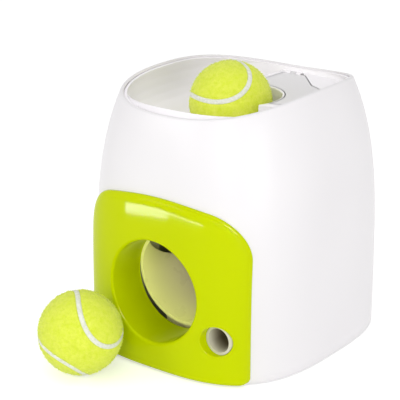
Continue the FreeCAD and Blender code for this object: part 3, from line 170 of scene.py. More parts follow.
def two_tone(tree, value, first, second, start=0.35, end=0.65):
    """The first colour below the start of the value's stretch and the second beyond its end."""
    ramp = tree.nodes.new("ShaderNodeValToRGB")
    ramp.color_ramp.elements[0].position = start
    ramp.color_ramp.elements[1].position = end
    ramp.color_ramp.elements[0].color = (*first, 1)
    ramp.color_ramp.elements[1].color = (*second, 1)
    tree.links.new(value, ramp.inputs["Fac"])
    return ramp.outputs["Color"]


def bumped(tree, shader, value, depth, strength=1.0, under=None):
    """Relief of a depth in metres, over another relief if one is given."""
    bump = tree.nodes.new("ShaderNodeBump")
    bump.inputs["Strength"].default_value = strength
    bump.inputs["Distance"].default_value = depth
    tree.links.new(value, bump.inputs["Height"])
    if under is not None:
        tree.links.new(under, bump.inputs["Normal"])
    tree.links.new(bump.outputs["Normal"], shader.inputs["Normal"])
    return bump.outputs["Normal"]


def moulded_plastic(name, colour, darker, roughness, grain, grain_depth, shine=0.5):
    """Injection moulded plastic: faint flow mottling, a slightly uneven gloss and a fine grain."""
    material, tree, shader = tree_of(name)
    flow = noise(tree, 9, 1.0)
    tree.links.new(two_tone(tree, flow, colour, darker), shader.inputs["Base Color"])
    handled = noise(tree, 14, 1.0)
    tree.links.new(spread(tree, handled, roughness * 0.94, roughness * 1.06), shader.inputs["Roughness"])
    bumped(tree, shader, noise(tree, grain, 2.0), grain_depth, 0.25)
    shader.inputs["Specular IOR Level"].default_value = shine
    return material


def run_plastic_with_painted_shade(name, mouth, deep_painted_shade, start, end, roughness):
    """Plastic of a run inside the body, with light painted into its colour: its tone changes with the
    depth along Y, from the mouth's tone to a darker painted shade deep inside.
    """
    material, tree, shader = tree_of(name)
    coordinates = tree.nodes.new("ShaderNodeTexCoord")
    parts = tree.nodes.new("ShaderNodeSeparateXYZ")
    tree.links.new(coordinates.outputs["Object"], parts.inputs["Vector"])
    # the depth along Y blends the painted tones: the mouth's first, then painted shade deeper in the run
    depth = spread(tree, parts.outputs["Y"], 0.0, 1.0, start, end)
    tree.links.new(two_tone(tree, depth, mouth, deep_painted_shade, 0.0, 1.0), shader.inputs["Base Color"])
    worn = noise(tree, 30, 3.0)
    tree.links.new(spread(tree, worn, roughness * 0.9, roughness * 1.15), shader.inputs["Roughness"])
    bumped(tree, shader, noise(tree, 1600, 2.0), 0.00001, 0.3)
    return material


def turned_steel(name, colour, roughness, stretch):
    """Steel with fine tool marks, which run the way that the noise is stretched."""
    material, tree, shader = tree_of(name)
    shader.inputs["Metallic"].default_value = 1.0
    lines = noise(tree, 900, 2.0, 0.6, stretch)
    darker = tuple(channel * 0.8 for channel in colour)
    tree.links.new(two_tone(tree, lines, colour, darker), shader.inputs["Base Color"])
    tree.links.new(spread(tree, lines, roughness * 0.7, roughness * 1.4), shader.inputs["Roughness"])
    bumped(tree, shader, lines, 0.00002, 0.4)
    return material


def moulded_rubber(name, colour, lighter):
    """Matt rubber with a little pale dust on it."""
    material, tree, shader = tree_of(name)
    dust = noise(tree, 60, 5.0, 0.7)
    tree.links.new(two_tone(tree, dust, colour, lighter, 0.45, 0.75), shader.inputs["Base Color"])
    tree.links.new(spread(tree, dust, 0.6, 0.85), shader.inputs["Roughness"])
    bumped(tree, shader, noise(tree, 2200, 3.0), 0.00005, 0.6)
    return material


def ball_felt(name):
    """Napped felt whose colour follows its relief, with painted shade in the hollows: clumps and fibres
    are lighter at their tops and tips and darker in the hollows between.
    """
    material, tree, shader = tree_of(name)
    clumps = noise(tree, 330, 4.0, 0.65)
    fibres = noise(tree, 2600, 4.0, 0.75)
    mixed = tree.nodes.new("ShaderNodeMix")
    mixed.data_type = "RGBA"
    mixed.blend_type = "MULTIPLY"
    mixed.inputs["Factor"].default_value = 1.0
    # painted shade: the felt is darker where the clump relief is low, by the same noise that bumps the
    # lumps
    body = two_tone(tree, clumps, (0.76, 0.88, 0.03), (0.90, 0.97, 0.12), 0.3, 0.68)
    # painted shade: the fibre relief is greyer where it is low and white at its tips
    nap = two_tone(tree, fibres, (0.84, 0.86, 0.7), (1.0, 1.0, 1.0), 0.3, 0.6)
    tree.links.new(body, mixed.inputs["A"])
    tree.links.new(nap, mixed.inputs["B"])
    tree.links.new(mixed.outputs["Result"], shader.inputs["Base Color"])
    shader.inputs["Roughness"].default_value = 0.95
    shader.inputs["Sheen Weight"].default_value = 0.5
    shader.inputs["Sheen Roughness"].default_value = 0.5
    shader.inputs["Sheen Tint"].default_value = (0.95, 1.0, 0.5, 1)
    lumps = bumped(tree, shader, clumps, 0.0006, 0.6)
    bumped(tree, shader, fibres, 0.0003, 0.9, under=lumps)
    return material


def seam_rubber(name):
    """The ball's pale seam, scuffed and a little rough."""
    material, tree, shader = tree_of(name)
    scuffs = noise(tree, 500, 4.0, 0.6)
    tone = two_tone(tree, scuffs, (0.86, 0.87, 0.80), (0.72, 0.74, 0.64))
    tree.links.new(tone, shader.inputs["Base Color"])
    tree.links.new(spread(tree, scuffs, 0.5, 0.75), shader.inputs["Roughness"])
    bumped(tree, shader, noise(tree, 1800, 3.0), 0.00006, 0.6)
    return material


MATERIALS = {
    "white_plastic": moulded_plastic(
        "satin white", (0.865, 0.845, 0.86), (0.84, 0.82, 0.835), 0.30, 1500, 0.00001, shine=0.3),
    "lime_plastic": moulded_plastic(
        "glossy lime", (0.575, 0.675, 0.0), (0.56, 0.66, 0.0), 0.07, 700, 0.000002, shine=0.05),
    "inner_plastic": moulded_plastic(
        "plain white inside", (0.80, 0.78, 0.74), (0.76, 0.74, 0.70), 0.42, 1800, 0.00002),
    "gear_plastic": moulded_plastic(
        "acetal", (0.74, 0.73, 0.68), (0.70, 0.69, 0.64), 0.38, 1600, 0.00002),
    "steel": turned_steel("ground steel", (0.62, 0.62, 0.63), 0.28, (1, 0.05, 0.05)),
    "screw_steel": turned_steel("zinc plated steel", (0.66, 0.67, 0.70), 0.22, (1, 1, 0.1)),
    "pad_rubber": moulded_rubber("black rubber", (0.02, 0.02, 0.02), (0.05, 0.05, 0.048)),
    "ball_rubber": moulded_rubber("ball core rubber", (0.10, 0.09, 0.08), (0.14, 0.13, 0.12)),
    "felt": ball_felt("yellow felt"),
}
SEAM_RUBBER = seam_rubber("seam rubber")
# ball run: the yellow at the mouth is a painted reflection of green light from the lime sleeve, and the
# brown-grey deeper in is painted shade
CHUTE_PAINTED_REFLECTION_AND_SHADE = run_plastic_with_painted_shade("ball run", (0.98, 0.97, 0.36), (0.72, 0.64, 0.44), -0.070, -0.020, 0.28)
# treat tube: its colour darkens to brown deeper in, which is painted shade
TUBE_PAINTED_SHADE = run_plastic_with_painted_shade("treat tube", (0.66, 0.63, 0.50), (0.22, 0.17, 0.09), -0.0975, -0.084, 0.4)


# ---------------------------------------------------------------- mesh helpers
def placed(name, data):
    """A new object at the origin, in the scene."""
    made = bpy.data.objects.new(name, data)
    bpy.context.scene.collection.objects.link(made)
    return made


def piece_of(name, vertices, faces, material, smooth=True):
    """A mesh object with its place in its mesh; vertices come in millimetres."""
    mesh = bpy.data.meshes.new(name)
    mesh.from_pydata([tuple(v) for v in np.asarray(vertices, float) * MM], [], faces)
    mesh.validate()
    mesh.materials.append(material)
    for polygon in mesh.polygons:
        polygon.use_smooth = smooth
    return placed(name, mesh)


def grid_faces(rows, columns, wrap_rows, wrap_columns):
    """Four-sided faces between rows of points, closed on themselves where asked."""
    faces = []
    for i in range(rows if wrap_rows else rows - 1):
        for j in range(columns if wrap_columns else columns - 1):
            k, m = (i + 1) % rows, (j + 1) % columns
            faces.append((i * columns + j, i * columns + m, k * columns + m, k * columns + j))
    return faces


def capped_faces(rows, columns):
    """Faces round a stack of closed outlines, with a cap at each end."""
    faces = grid_faces(rows, columns, False, True)
    faces.append(tuple(range(columns)))
    faces.append(tuple(range((rows - 1) * columns, rows * columns)))
    return faces


def outward(piece):
    """Merges doubles and turns the faces outwards."""
    edit = bmesh.new()
    edit.from_mesh(piece.data)
    bmesh.ops.remove_doubles(edit, verts=edit.verts, dist=2e-6)
    bmesh.ops.recalc_face_normals(edit, faces=edit.faces)
    edit.to_mesh(piece.data)
    edit.free()
    return piece


def settle(piece):
    """Applies the piece's modifiers and removes them."""
    graph = bpy.context.evaluated_depsgraph_get()
    mesh = bpy.data.meshes.new_from_object(piece.evaluated_get(graph))
    mesh.name = piece.name
    piece.modifiers.clear()
    piece.data = mesh


def cut(piece, *cutters):
    """Cuts ways through a piece and takes the cutters away."""
    for cutter in cutters:
        modifier = piece.modifiers.new("cut", "BOOLEAN")
        modifier.operation = "DIFFERENCE"
        modifier.solver = "EXACT"
        modifier.object = cutter
    settle(piece)
    for cutter in cutters:
        bpy.data.objects.remove(cutter)


def round_bar(name, radius, start, end, material, sides):
    """A plain closed bar from start to end, for cutting a round way."""
    start, end = Vector(start), Vector(end)
    along = (end - start).normalized()
    side = along.orthogonal().normalized()
    other = along.cross(side)
    vertices = []
    for middle in (start, end):
        for step in range(sides):
            angle = 2 * math.pi * step / sides
            vertices.append(middle + (side * math.cos(angle) + other * math.sin(angle)) * radius)
    return outward(piece_of(name, vertices, capped_faces(2, sides), material))


def quarter_round(radius, steps, first=1):
    """How far in and how far up each step of a rounded edge lies, from its side to its top."""
    turns = [math.pi / 2 * step / steps for step in range(first, steps + 1)]
    return [(radius * (1 - math.cos(turn)), radius * math.sin(turn)) for turn in turns]


def joined(name, *parts):
    """Several pieces of one moulding as one mesh."""
    edit = bmesh.new()
    for part in parts:
        edit.from_mesh(part.data)
    mesh = bpy.data.meshes.new(name)
    edit.to_mesh(mesh)
    edit.free()
    keep = parts[0]
    mesh.materials.append(keep.data.materials[0])
    keep.name = name
    keep.data = mesh
    for part in parts[1:]:
        bpy.data.objects.remove(part)
    return keep


def by_angle(piece, degrees):
    """Smooth shading with the edges over an angle kept sharp, written into the mesh."""
    mesh = piece.data
    for polygon in mesh.polygons:
        polygon.use_smooth = True
    mesh.set_sharp_from_angle(angle=math.radians(degrees))
    return piece


# ---------------------------------------------------------------- the barrel form
def plan_size(z, inset):
    """Half width, half depth and roundness power of the barrel's plan at a height."""
    share = min(max(z, 0.0) / BARREL_HEIGHT, 1.1) ** TAPER_POWER
    half_x = HALF_WIDTH * (1 - (1 - TOP_WIDTH_RATIO) * share) - inset
    half_y = HALF_DEPTH * (1 - (1 - TOP_DEPTH_RATIO) * share) - inset
    power = PLAN_POWER_BASE + (PLAN_POWER_TOP - PLAN_POWER_BASE) * share
    return half_x, half_y, power


def wall_point(angle, z, inset):
    """Plan point of the barrel's wall at a height, set in from its outer face."""
    half_x, half_y, power = plan_size(z, inset)
    c, s = math.cos(angle), math.sin(angle)
    size = (abs(c) ** power + abs(s) ** power) ** (-1 / power)
    return half_x * size * c, half_y * size * s


def front_y(x, z, inset=0.0):
    """Y of the barrel's front face."""
    half_x, half_y, power = plan_size(z, inset)
    return -half_y * (1 - (abs(x) / half_x) ** power) ** (1 / power)


RIM_X, RIM_Y = plan_size(RIM_MEAN, 0)[:2]


def rim_height(x, y):
    """Height of the saddle-shaped rim over a plan point."""
    saddle = RIM_SADDLE * ((x / RIM_X) ** 2 - (y / RIM_Y) ** 2)
    return RIM_MEAN + saddle + RIM_BACK_RISE * y / RIM_Y


def make_barrel_shell():
    """The white barrel: one wall from the floor up over a rounded saddle-shaped rim and down inside."""
    columns = 320
    angles = [2 * math.pi * step / columns for step in range(columns)]
    rims = [rim_height(*wall_point(angle, RIM_MEAN, SHELL_WALL / 2)) for angle in angles]
    vertices = []

    def row(inset, height_of):
        for angle, rim in zip(angles, rims):
            z = height_of(rim)
            vertices.append((*wall_point(angle, z, inset), z))

    def side_row(inset, share):
        row(inset, lambda rim: SHELL_LIFT + share * (rim - SHELL_ROUND - SHELL_LIFT))

    def rim_row(inset, rise):
        row(inset, lambda rim: rim - SHELL_ROUND + rise)

    side_row(SHELL_FOOT_CHAMFER, 0.0)
    for share in [0.004] + [step / 30 for step in range(1, 31)]:
        side_row(0.0, share)
    for inset, rise in quarter_round(SHELL_ROUND, 6):
        rim_row(inset, rise)
    for inset, rise in reversed(quarter_round(SHELL_ROUND, 6, first=0)):
        rim_row(SHELL_WALL - inset, rise)
    for share in (0.95, 0.85, 0.7, 0.5, 0.25, 0.0):
        side_row(SHELL_WALL, share)
    rows = len(vertices) // columns
    shell = piece_of("barrel_shell", vertices, grid_faces(rows, columns, True, True),
                     MATERIALS["white_plastic"])
    outward(shell)
    sleeve_way = round_bar("sleeve_way", OUTLET_RADIUS + SLEEVE_WALL + SLEEVE_GAP,
                           (0, BEFORE_PANEL, OUTLET_Z), (0, 0, OUTLET_Z), MATERIALS["white_plastic"], 96)
    lip_way = round_bar("lip_way", TREAT_RADIUS + TREAT_LIP_WALL + TREAT_LIP_GAP,
                        (TREAT_X, BEFORE_PANEL, TREAT_Z), (TREAT_X, BEHIND_WALL, TREAT_Z),
                        MATERIALS["white_plastic"], 64)
    cut(shell, sleeve_way, lip_way)
    by_angle(shell, 40)
    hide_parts("body_shell")
    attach(shell, "body")


# ---------------------------------------------------------------- front panel
def panel_edge():
    """Points and outward normals of the panel's outline in the x-z plane, anticlockwise."""
    half, top, foot = PANEL_HALF_WIDTH, PANEL_TOP, SHELL_LIFT
    corner_z, r, f = top - PANEL_CROWN, PANEL_CORNER, PANEL_FOOT_CORNER
    points = []

    def arc(cx, cz, radius, start, end, steps):
        for step in range(steps):
            turn = math.radians(start + (end - start) * step / steps)
            points.append((cx + radius * math.cos(turn), cz + radius * math.sin(turn)))

    def line(x0, z0, x1, z1, steps):
        for step in range(steps):
            share = step / steps
            points.append((x0 + (x1 - x0) * share, z0 + (z1 - z0) * share))

    arc(half - f, foot + f, f, -90, 0, 10)
    line(half, foot + f, half, corner_z - r, 44)
    chord = half - r
    crown_radius = (chord ** 2 + PANEL_CROWN ** 2) / (2 * PANEL_CROWN)  # less the corner's radius
    opening = math.degrees(math.asin(chord / crown_radius))
    arc(half - r, corner_z - r, r, 0, 90 - opening, 36)
    arc(0, top - crown_radius - r, crown_radius + r, 90 - opening, 90 + opening, 56)
    arc(-half + r, corner_z - r, r, 90 + opening, 180, 36)
    line(-half, corner_z - r, -half, foot + f, 44)
    arc(-half + f, foot + f, f, 180, 270, 10)
    line(-half + f, foot, half - f, foot, 60)
    points = np.array(points)
    before, after = np.roll(points, 1, 0), np.roll(points, -1, 0)
    tangent = after - before
    tangent /= np.linalg.norm(tangent, axis=1)[:, None]
    normal = np.stack([tangent[:, 1], -tangent[:, 0]], 1)
    return points, normal


def make_lime_panel():
    """The glossy panel: rounded all round, its face curving with the barrel, its sleeve going in."""
    edge, normal = panel_edge()
    centre = np.array([0.0, OUTLET_Z])
    toward = edge - centre
    toward /= np.linalg.norm(toward, axis=1)[:, None]
    rows = []

    def row(points, proud):
        rows.append([(x, front_y(x, z, -proud), z) for x, z in points])

    for proud in (PANEL_BACK, PANEL_EDGE_PROUD):
        row(edge, proud)
    climb = np.clip((edge[:, 1] - PANEL_ROUND_FROM) / PANEL_ROUND_CLIMB, 0, 1)[:, None]
    reach = PANEL_FOOT_ROUND + (PANEL_ROUND - PANEL_FOOT_ROUND) * climb * climb * (3 - 2 * climb)
    crown = PANEL_PROUD - PANEL_EDGE_PROUD
    for step in range(0, 17):
        turn = math.pi / 2 * step / 16
        inward = reach * (1 - abs(math.cos(turn)) ** PANEL_ROUND_POWER)
        row(edge - normal * inward, PANEL_EDGE_PROUD + crown * math.sin(turn) ** PANEL_ROUND_POWER)
    inner = centre + toward * (OUTLET_RADIUS + OUTLET_ROUND)
    start = edge - normal * reach
    for step in range(1, 23):
        share = step / 22
        row(start + (inner - start) * share, PANEL_PROUD)
    for drop, inward in quarter_round(OUTLET_ROUND, 8):
        row(centre + toward * (OUTLET_RADIUS + OUTLET_ROUND - inward), PANEL_PROUD - drop)
    mouth = rows[-1]
    for share in (0.25, 0.5, 0.75, 0.97, 1.0):
        rows.append([(x, y + (SLEEVE_END - y) * share, z) for x, y, z in mouth])
    outer = centre + toward * (OUTLET_RADIUS + SLEEVE_WALL)
    rows.append([(x, SLEEVE_END, z) for x, z in outer])
    rows.append([(x, SLEEVE_END + SLEEVE_GAP, z) for x, z in outer])
    for share in (0.0, 0.02, 0.5, 0.98):
        row(outer + (edge - outer) * share, PANEL_BACK)
    vertices = [point for line in rows for point in line]
    panel = piece_of("lime_panel", vertices, grid_faces(len(rows), len(edge), True, True),
                     MATERIALS["lime_plastic"])
    outward(panel)
    lip_way = round_bar("lip_way", TREAT_RADIUS + TREAT_LIP_WALL - TREAT_LIP_BITE,
                        (TREAT_X, BEFORE_PANEL, TREAT_Z), (TREAT_X, BEHIND_PANEL, TREAT_Z),
                        MATERIALS["lime_plastic"], 96)
    cut(panel, lip_way)
    by_angle(panel, 50)
    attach(panel, "body")
    lip = make_treat_lip()
    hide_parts("front_panel")
    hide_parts("front_panel")


def make_treat_lip():
    """The rounded collar of the treat outlet, which turns in from the panel's face."""
    sides = 96
    inner, outer = TREAT_RADIUS, TREAT_RADIUS + TREAT_LIP_WALL
    middle, half_wall = (inner + outer) / 2, (outer - inner) / 2
    depth = front_y(TREAT_X, TREAT_Z) + TREAT_LIP_DEPTH
    vertices = []

    def row(radius, depth_of):
        for step in range(sides):
            angle = 2 * math.pi * step / sides
            x = TREAT_X + radius * math.cos(angle)
            z = TREAT_Z + radius * math.sin(angle)
            vertices.append((x, depth_of(x, z), z))

    row(outer, lambda x, z: depth)
    row(outer, lambda x, z: front_y(x, z, -PANEL_BACK))
    for step in range(0, 11):
        turn = math.pi * step / 10
        row(middle + half_wall * math.cos(turn),
            lambda x, z: front_y(x, z, -PANEL_PROUD) + TREAT_LIP_SET_IN - half_wall * math.sin(turn))
    row(inner, lambda x, z: depth)
    lip = piece_of("treat_lip", vertices, grid_faces(len(vertices) // sides, sides, True, True),
                   MATERIALS["lime_plastic"])
    outward(lip)
    by_angle(lip, 50)
    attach(lip, "body")
    return lip


# ---------------------------------------------------------------- basin and lid
def polar(radius, degrees):
    """Plan point at an angle round the throat."""
    angle = math.radians(degrees)
    return np.array([radius * math.cos(angle), THROAT_Y + radius * math.sin(angle)])


DECK_FRONT_AT = polar(THROAT_RADIUS + DECK_WALL_AT, DECK_FRONT_ANGLE)
DECK_BACK_AT = polar(THROAT_RADIUS + DECK_WALL_AT, DECK_BACK_ANGLE)
DECK_FRONT_WAY = math.degrees(math.atan2(DECK_FRONT_RISE, HALF_WIDTH - DECK_FRONT_AT[0]))
DECK_BACK_WAY = math.degrees(math.atan2(HALF_DEPTH - DECK_BACK_AT[1], DECK_BACK_LEAN))


def column_way(angle):
    """Direction in which a column of the basin leaves the throat at an angle, in degrees."""
    if DECK_FRONT_ANGLE <= angle <= DECK_BACK_ANGLE:
        share = (angle - DECK_FRONT_ANGLE) / (DECK_BACK_ANGLE - DECK_FRONT_ANGLE)
        return DECK_FRONT_WAY + share * (DECK_BACK_WAY - DECK_FRONT_WAY)
    share = (angle - DECK_BACK_ANGLE) / (360 + DECK_FRONT_ANGLE - DECK_BACK_ANGLE)
    return DECK_BACK_WAY + share * (360 + DECK_FRONT_WAY - DECK_BACK_WAY)


def reach_to_wall(start, way, z, inset):
    """Distance along a way in plan from a start to the barrel's wall, found by halving."""
    half_x, half_y, power = plan_size(z, inset)
    low, high = 0.0, 200.0
    for _ in range(40):
        middle = (low + high) / 2
        x, y = start + way * middle
        inside = (abs(x) / half_x) ** power + (abs(y) / half_y) ** power < 1
        low, high = (middle, high) if inside else (low, middle)
    return low


def bowl_height(s, length):
    """Height of the bowl at a distance from the throat's edge, in a column of that length."""
    at = [run for run, up in BOWL_FROM_THROAT] + [length - run for run, up in BOWL_FROM_WALL]
    heights = [up for run, up in BOWL_FROM_THROAT + BOWL_FROM_WALL]
    return float(np.interp(s, at, heights))


def softened_edge(distance):
    """How far the deck's top lies below its plane at a distance from its edge."""
    if distance >= DECK_ROUND:
        return 0.0
    distance = max(distance, 0.0)
    return DECK_ROUND - math.sqrt(DECK_ROUND ** 2 - (DECK_ROUND - distance) ** 2)


def way_apart(x, y, place, way):
    """Distance in plan from a line that leaves a place at an angle in degrees."""
    turn = math.radians(way)
    return abs((x - place[0]) * math.sin(turn) - (y - place[1]) * math.cos(turn))


def deck_height(x, y, s):
    """Height of the deck, which is rounded towards the throat and along its two ends."""
    front = way_apart(x, y, DECK_FRONT_AT, DECK_FRONT_WAY)
    back = way_apart(x, y, DECK_BACK_AT, DECK_BACK_WAY)
    return DECK_Z - softened_edge(min(front, back, s - DECK_WALL_AT))


def basin_columns():
    """Angles of the basin's columns, with close ones at the two ends of the deck."""
    near = [0.0, 0.35, 0.8, 1.5, 2.3, 3.1, 3.9, 4.0]
    deck = [DECK_FRONT_ANGLE + step for step in near]
    deck += list(np.linspace(DECK_FRONT_ANGLE + 5.5, DECK_BACK_ANGLE - 5.5, 84))
    deck += [DECK_BACK_ANGLE - step for step in reversed(near)]
    bowl = [DECK_BACK_ANGLE + 0.04, DECK_BACK_ANGLE + 0.9]
    bowl += list(np.linspace(DECK_BACK_ANGLE + 2.5, 360 + DECK_FRONT_ANGLE - 2.5, 150))
    bowl += [360 + DECK_FRONT_ANGLE - 0.9, 360 + DECK_FRONT_ANGLE - 0.04]
    return [(angle, True) for angle in deck] + [(angle, False) for angle in bowl]


def plan_angle(x, y, z, inset):
    """The angle that wall_point needs to pass through a plan point."""
    half_x, half_y = plan_size(z, inset)[:2]
    return math.atan2(y / half_y, x / half_x)


def basin_wall(wall_angle):
    """Points of a column up the basin's wall, over its rounded top edge and down outside."""
    middle = BASIN_OUTSIDE + BASIN_WALL / 2
    x, y = wall_point(wall_angle, BASIN_RIM_LEVEL, middle)
    shoulder = rim_height(x, y) - RIM_STEP - BASIN_ROUND
    angle = plan_angle(x, y, BASIN_RIM_LEVEL, middle)
    heights = []
    for share in (0.35, 0.7, 1.0):
        z = BASIN_WALL_FROM + (shoulder - BASIN_WALL_FROM) * share
        if shoulder < BASIN_WALL_FROM:
            z = shoulder - 0.4 * (1 - share)
        heights.append((z, BASIN_INSIDE))
    for inset, rise in quarter_round(BASIN_ROUND, 5):
        heights.append((shoulder + rise, BASIN_INSIDE - inset))
    for inset, rise in reversed(quarter_round(BASIN_ROUND, 5, first=0)):
        heights.append((shoulder + rise, BASIN_OUTSIDE + inset))
    heights += [(z, BASIN_OUTSIDE) for z in BASIN_OUTSIDE_LEVELS]
    return [(*wall_point(angle, z, inset), z) for z, inset in heights]


def basin_column(angle, on_deck):
    """Points of one column: up the throat's collar, out to the wall, over it and back below."""
    start = polar(THROAT_RADIUS, angle)
    way_angle = math.radians(column_way(angle))
    way = np.array([math.cos(way_angle), math.sin(way_angle)])
    length = reach_to_wall(start, way, BASIN_WALL_LEVEL, BASIN_INSIDE)

    def at(s, z):
        x, y = start + way * s
        return x, y, z

    def top(s):
        return deck_height(*(start + way * s), s) if on_deck else bowl_height(s, length)

    points = [at(s, z) for s, z in COLLAR_PROFILE]
    deck_edge = deck_height(*(start + way * DECK_WALL_AT), DECK_WALL_AT)
    for step in range(8):
        share = step / 7
        s = DECK_WALL_AT - DECK_WALL_LEAN + 2 * DECK_WALL_LEAN * share
        climb = THROAT_RIM_Z + (deck_edge - THROAT_RIM_Z) * share
        points.append(at(s, climb if on_deck else bowl_height(s, length)))
    rounded_from = DECK_WALL_AT + DECK_WALL_LEAN
    for step in range(1, 6):
        s = rounded_from + DECK_ROUND * (step / 5) ** 1.6
        points.append(at(s, top(s)))
    plain_from = rounded_from + DECK_ROUND
    heel = length - DECK_HEEL
    for step in range(1, 25):
        s = plain_from + (heel - plain_from) * step / 24
        points.append(at(s, top(s)))
    for step in range(1, 9):
        turn = math.pi / 2 * step / 8
        s = heel + DECK_HEEL * (math.sin(turn) if on_deck else step / 8)
        fillet = DECK_FILLET * (1 - math.cos(turn)) if on_deck and step > 3 else 0.0
        points.append(at(s, top(s) + fillet))

    points += basin_wall(math.atan2(start[1] + way[1] * length, start[0] + way[0] * length))

    deck_under = DECK_Z - BASIN_WALL
    under_deck = on_deck and min(angle - DECK_FRONT_ANGLE, DECK_BACK_ANGLE - angle) > DECK_END_TURN
    for step in range(12):
        s = length - 3.0 - (length - 9.0) * step / 11
        bowl_under = bowl_height(min(s + 1.5, length), length) - BASIN_WALL
        points.append(at(s, deck_under if under_deck else bowl_under))
    points.append(at(DECK_WALL_AT + BASIN_WALL, deck_under if under_deck else COLLAR_BACK_TOP))
    points.append(at(BASIN_WALL + (DECK_COLLAR_STEP if under_deck else 0.0), COLLAR_BACK_MIDDLE))
    points.append(at(BASIN_WALL, THROAT_FOOT_Z))
    return points


def make_basin_moulding():
    """The white basin: throat collar, bowl, raised deck and a rounded top edge, as one closed wall."""
    columns = [basin_column(angle, on_deck) for angle, on_deck in basin_columns()]
    rows = len(columns[0])
    vertices = [column[place] for place in range(rows) for column in columns]
    basin = piece_of("basin_moulding", vertices, grid_faces(rows, len(columns), True, True),
                     MATERIALS["white_plastic"])
    outward(basin)
    cut(basin, lid_block("lid_way", LID_GAP, LID_WAY_LEVELS))
    by_angle(basin, 40)
    parts = [basin]
    for x0, x1 in (KNUCKLES[0], KNUCKLES[2]):
        parts.append(hinge_knuckle("basin_knuckle", x0, x1, HINGE_Y + KNUCKLE_RADIUS + 2.0))
    basin = joined("basin_moulding", *parts)
    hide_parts("top_basin")
    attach(basin, "body")


# x from and to of the three hinge eyes: basin, lid, basin
KNUCKLE_PITCH = (LID_NECK_RIGHT - LID_NECK_LEFT - KNUCKLE_GAP) / 3
KNUCKLES = [(LID_NECK_LEFT + KNUCKLE_GAP + KNUCKLE_PITCH * place,
             LID_NECK_LEFT + KNUCKLE_PITCH * (place + 1)) for place in range(3)]


def hinge_knuckle(name, x0, x1, root_y):
    """A rounded hinge eye with a flat web back to the plate that carries it."""
    centre_z = DECK_Z - LID_THICK / 2
    outline = []
    sign = 1 if root_y > HINGE_Y else -1
    for step in range(17):
        turn = math.radians(90 + 180 * step / 16)
        outline.append((HINGE_Y + sign * KNUCKLE_RADIUS * math.cos(turn),
                        centre_z + KNUCKLE_RADIUS * math.sin(turn)))
    outline += [(root_y, DECK_Z - LID_THICK), (root_y, DECK_Z)]
    vertices = []
    for x, pull in ((x0, 0.1), (x0 + KNUCKLE_END, 0.0), (x1 - KNUCKLE_END, 0.0), (x1, 0.1)):
        for y, z in outline:
            vertices.append((x, y + (HINGE_Y - y) * pull / 4, z + (centre_z - z) * pull))
    faces = capped_faces(4, len(outline))
    knuckle = outward(piece_of(name, vertices, faces, MATERIALS["white_plastic"]))
    return by_angle(knuckle, 40)


def lid_edge(grow):
    """The lid's outline in plan: a crescent round the throat and a neck to the hinge."""
    inner, outer = LID_INNER_RADIUS - grow, LID_SHOULDER_RADIUS + grow
    left, right = LID_NECK_LEFT - grow, LID_NECK_RIGHT + grow
    hinge_side = HINGE_Y + KNUCKLE_RADIUS + grow
    foot_angle = LID_FRONT_ANGLE - math.degrees(grow / inner)
    neck_angle = 90 + math.degrees(math.asin(-left / inner)) - 1.0
    points = [polar(inner, angle) for angle in np.linspace(neck_angle, foot_angle, 60)]
    shoulder_start = polar(outer - LID_SHOULDER_DROP, LID_SHOULDER_START)
    nose = np.array([shoulder_start[0] + LID_NOSE_OUT + grow / 2, points[-1][1] + LID_NOSE_BACK])
    points += [nose * 0.97 + points[-1] * 0.03, nose, nose * 0.94 + shoulder_start * 0.06]
    for share in np.linspace(0, 1, 24):
        angle = LID_SHOULDER_START + share * (LID_SHOULDER_END - LID_SHOULDER_START)
        bulge = LID_SHOULDER_BULGE * math.sin(math.pi * share)
        points.append(polar(outer - LID_SHOULDER_DROP * (1 - share) + bulge, angle))
    points += [np.array([right, hinge_side]), np.array([left, hinge_side])]
    return np.array(points)


def spaced(points, step):
    """The outline's points with long stretches filled in, so that it can be rounded evenly."""
    filled = []
    for here, there in zip(points, np.roll(points, -1, 0)):
        parts = max(1, int(round(np.linalg.norm(there - here) / step)))
        for part in range(parts):
            filled.append(here + (there - here) * part / parts)
    return np.array(filled)


def lid_levels():
    """Inset and height of each level of the lid, with a rounded top edge."""
    shoulder = DECK_Z - LID_ROUND
    foot = DECK_Z - LID_THICK
    levels = [(LID_FOOT_CHAMFER, foot), (0.0, foot + LID_FOOT_CHAMFER), (0.0, shoulder)]
    return levels + [(inset, shoulder + rise) for inset, rise in quarter_round(LID_ROUND, 5)]


# the same for the way cut in the deck, which widens at the top to soften its edge
LID_WAY_LEVELS = [(0.0, DECK_Z - BASIN_WALL - 2), (0.0, DECK_Z - 0.6), (-0.2, DECK_Z - 0.2),
                  (-0.6, DECK_Z), (-0.6, DECK_Z + 2)]


def lid_block(name, grow, levels):
    """A closed block with the lid's outline, grown all round."""
    edge = spaced(lid_edge(grow), 1.5)
    before, after = np.roll(edge, 1, 0), np.roll(edge, -1, 0)
    tangent = after - before
    tangent /= np.maximum(np.linalg.norm(tangent, axis=1), 1e-9)[:, None]
    inward = np.stack([tangent[:, 1], -tangent[:, 0]], 1)
    vertices = []
    for inset, z in levels:
        for point in edge + inward * inset:
            vertices.append((*point, z))
    faces = capped_faces(len(levels), len(edge))
    return outward(piece_of(name, vertices, faces, MATERIALS["white_plastic"]))


def plain_block(name, low, high):
    (x0, y0, z0), (x1, y1, z1) = low, high
    corners = [(x, y, z) for z in (z0, z1) for y in (y0, y1) for x in (x0, x1)]
    faces = [(0, 2, 3, 1), (4, 5, 7, 6), (0, 1, 5, 4), (1, 3, 7, 5), (3, 2, 6, 7), (2, 0, 4, 6)]
    return outward(piece_of(name, corners, faces, MATERIALS["white_plastic"], smooth=False))


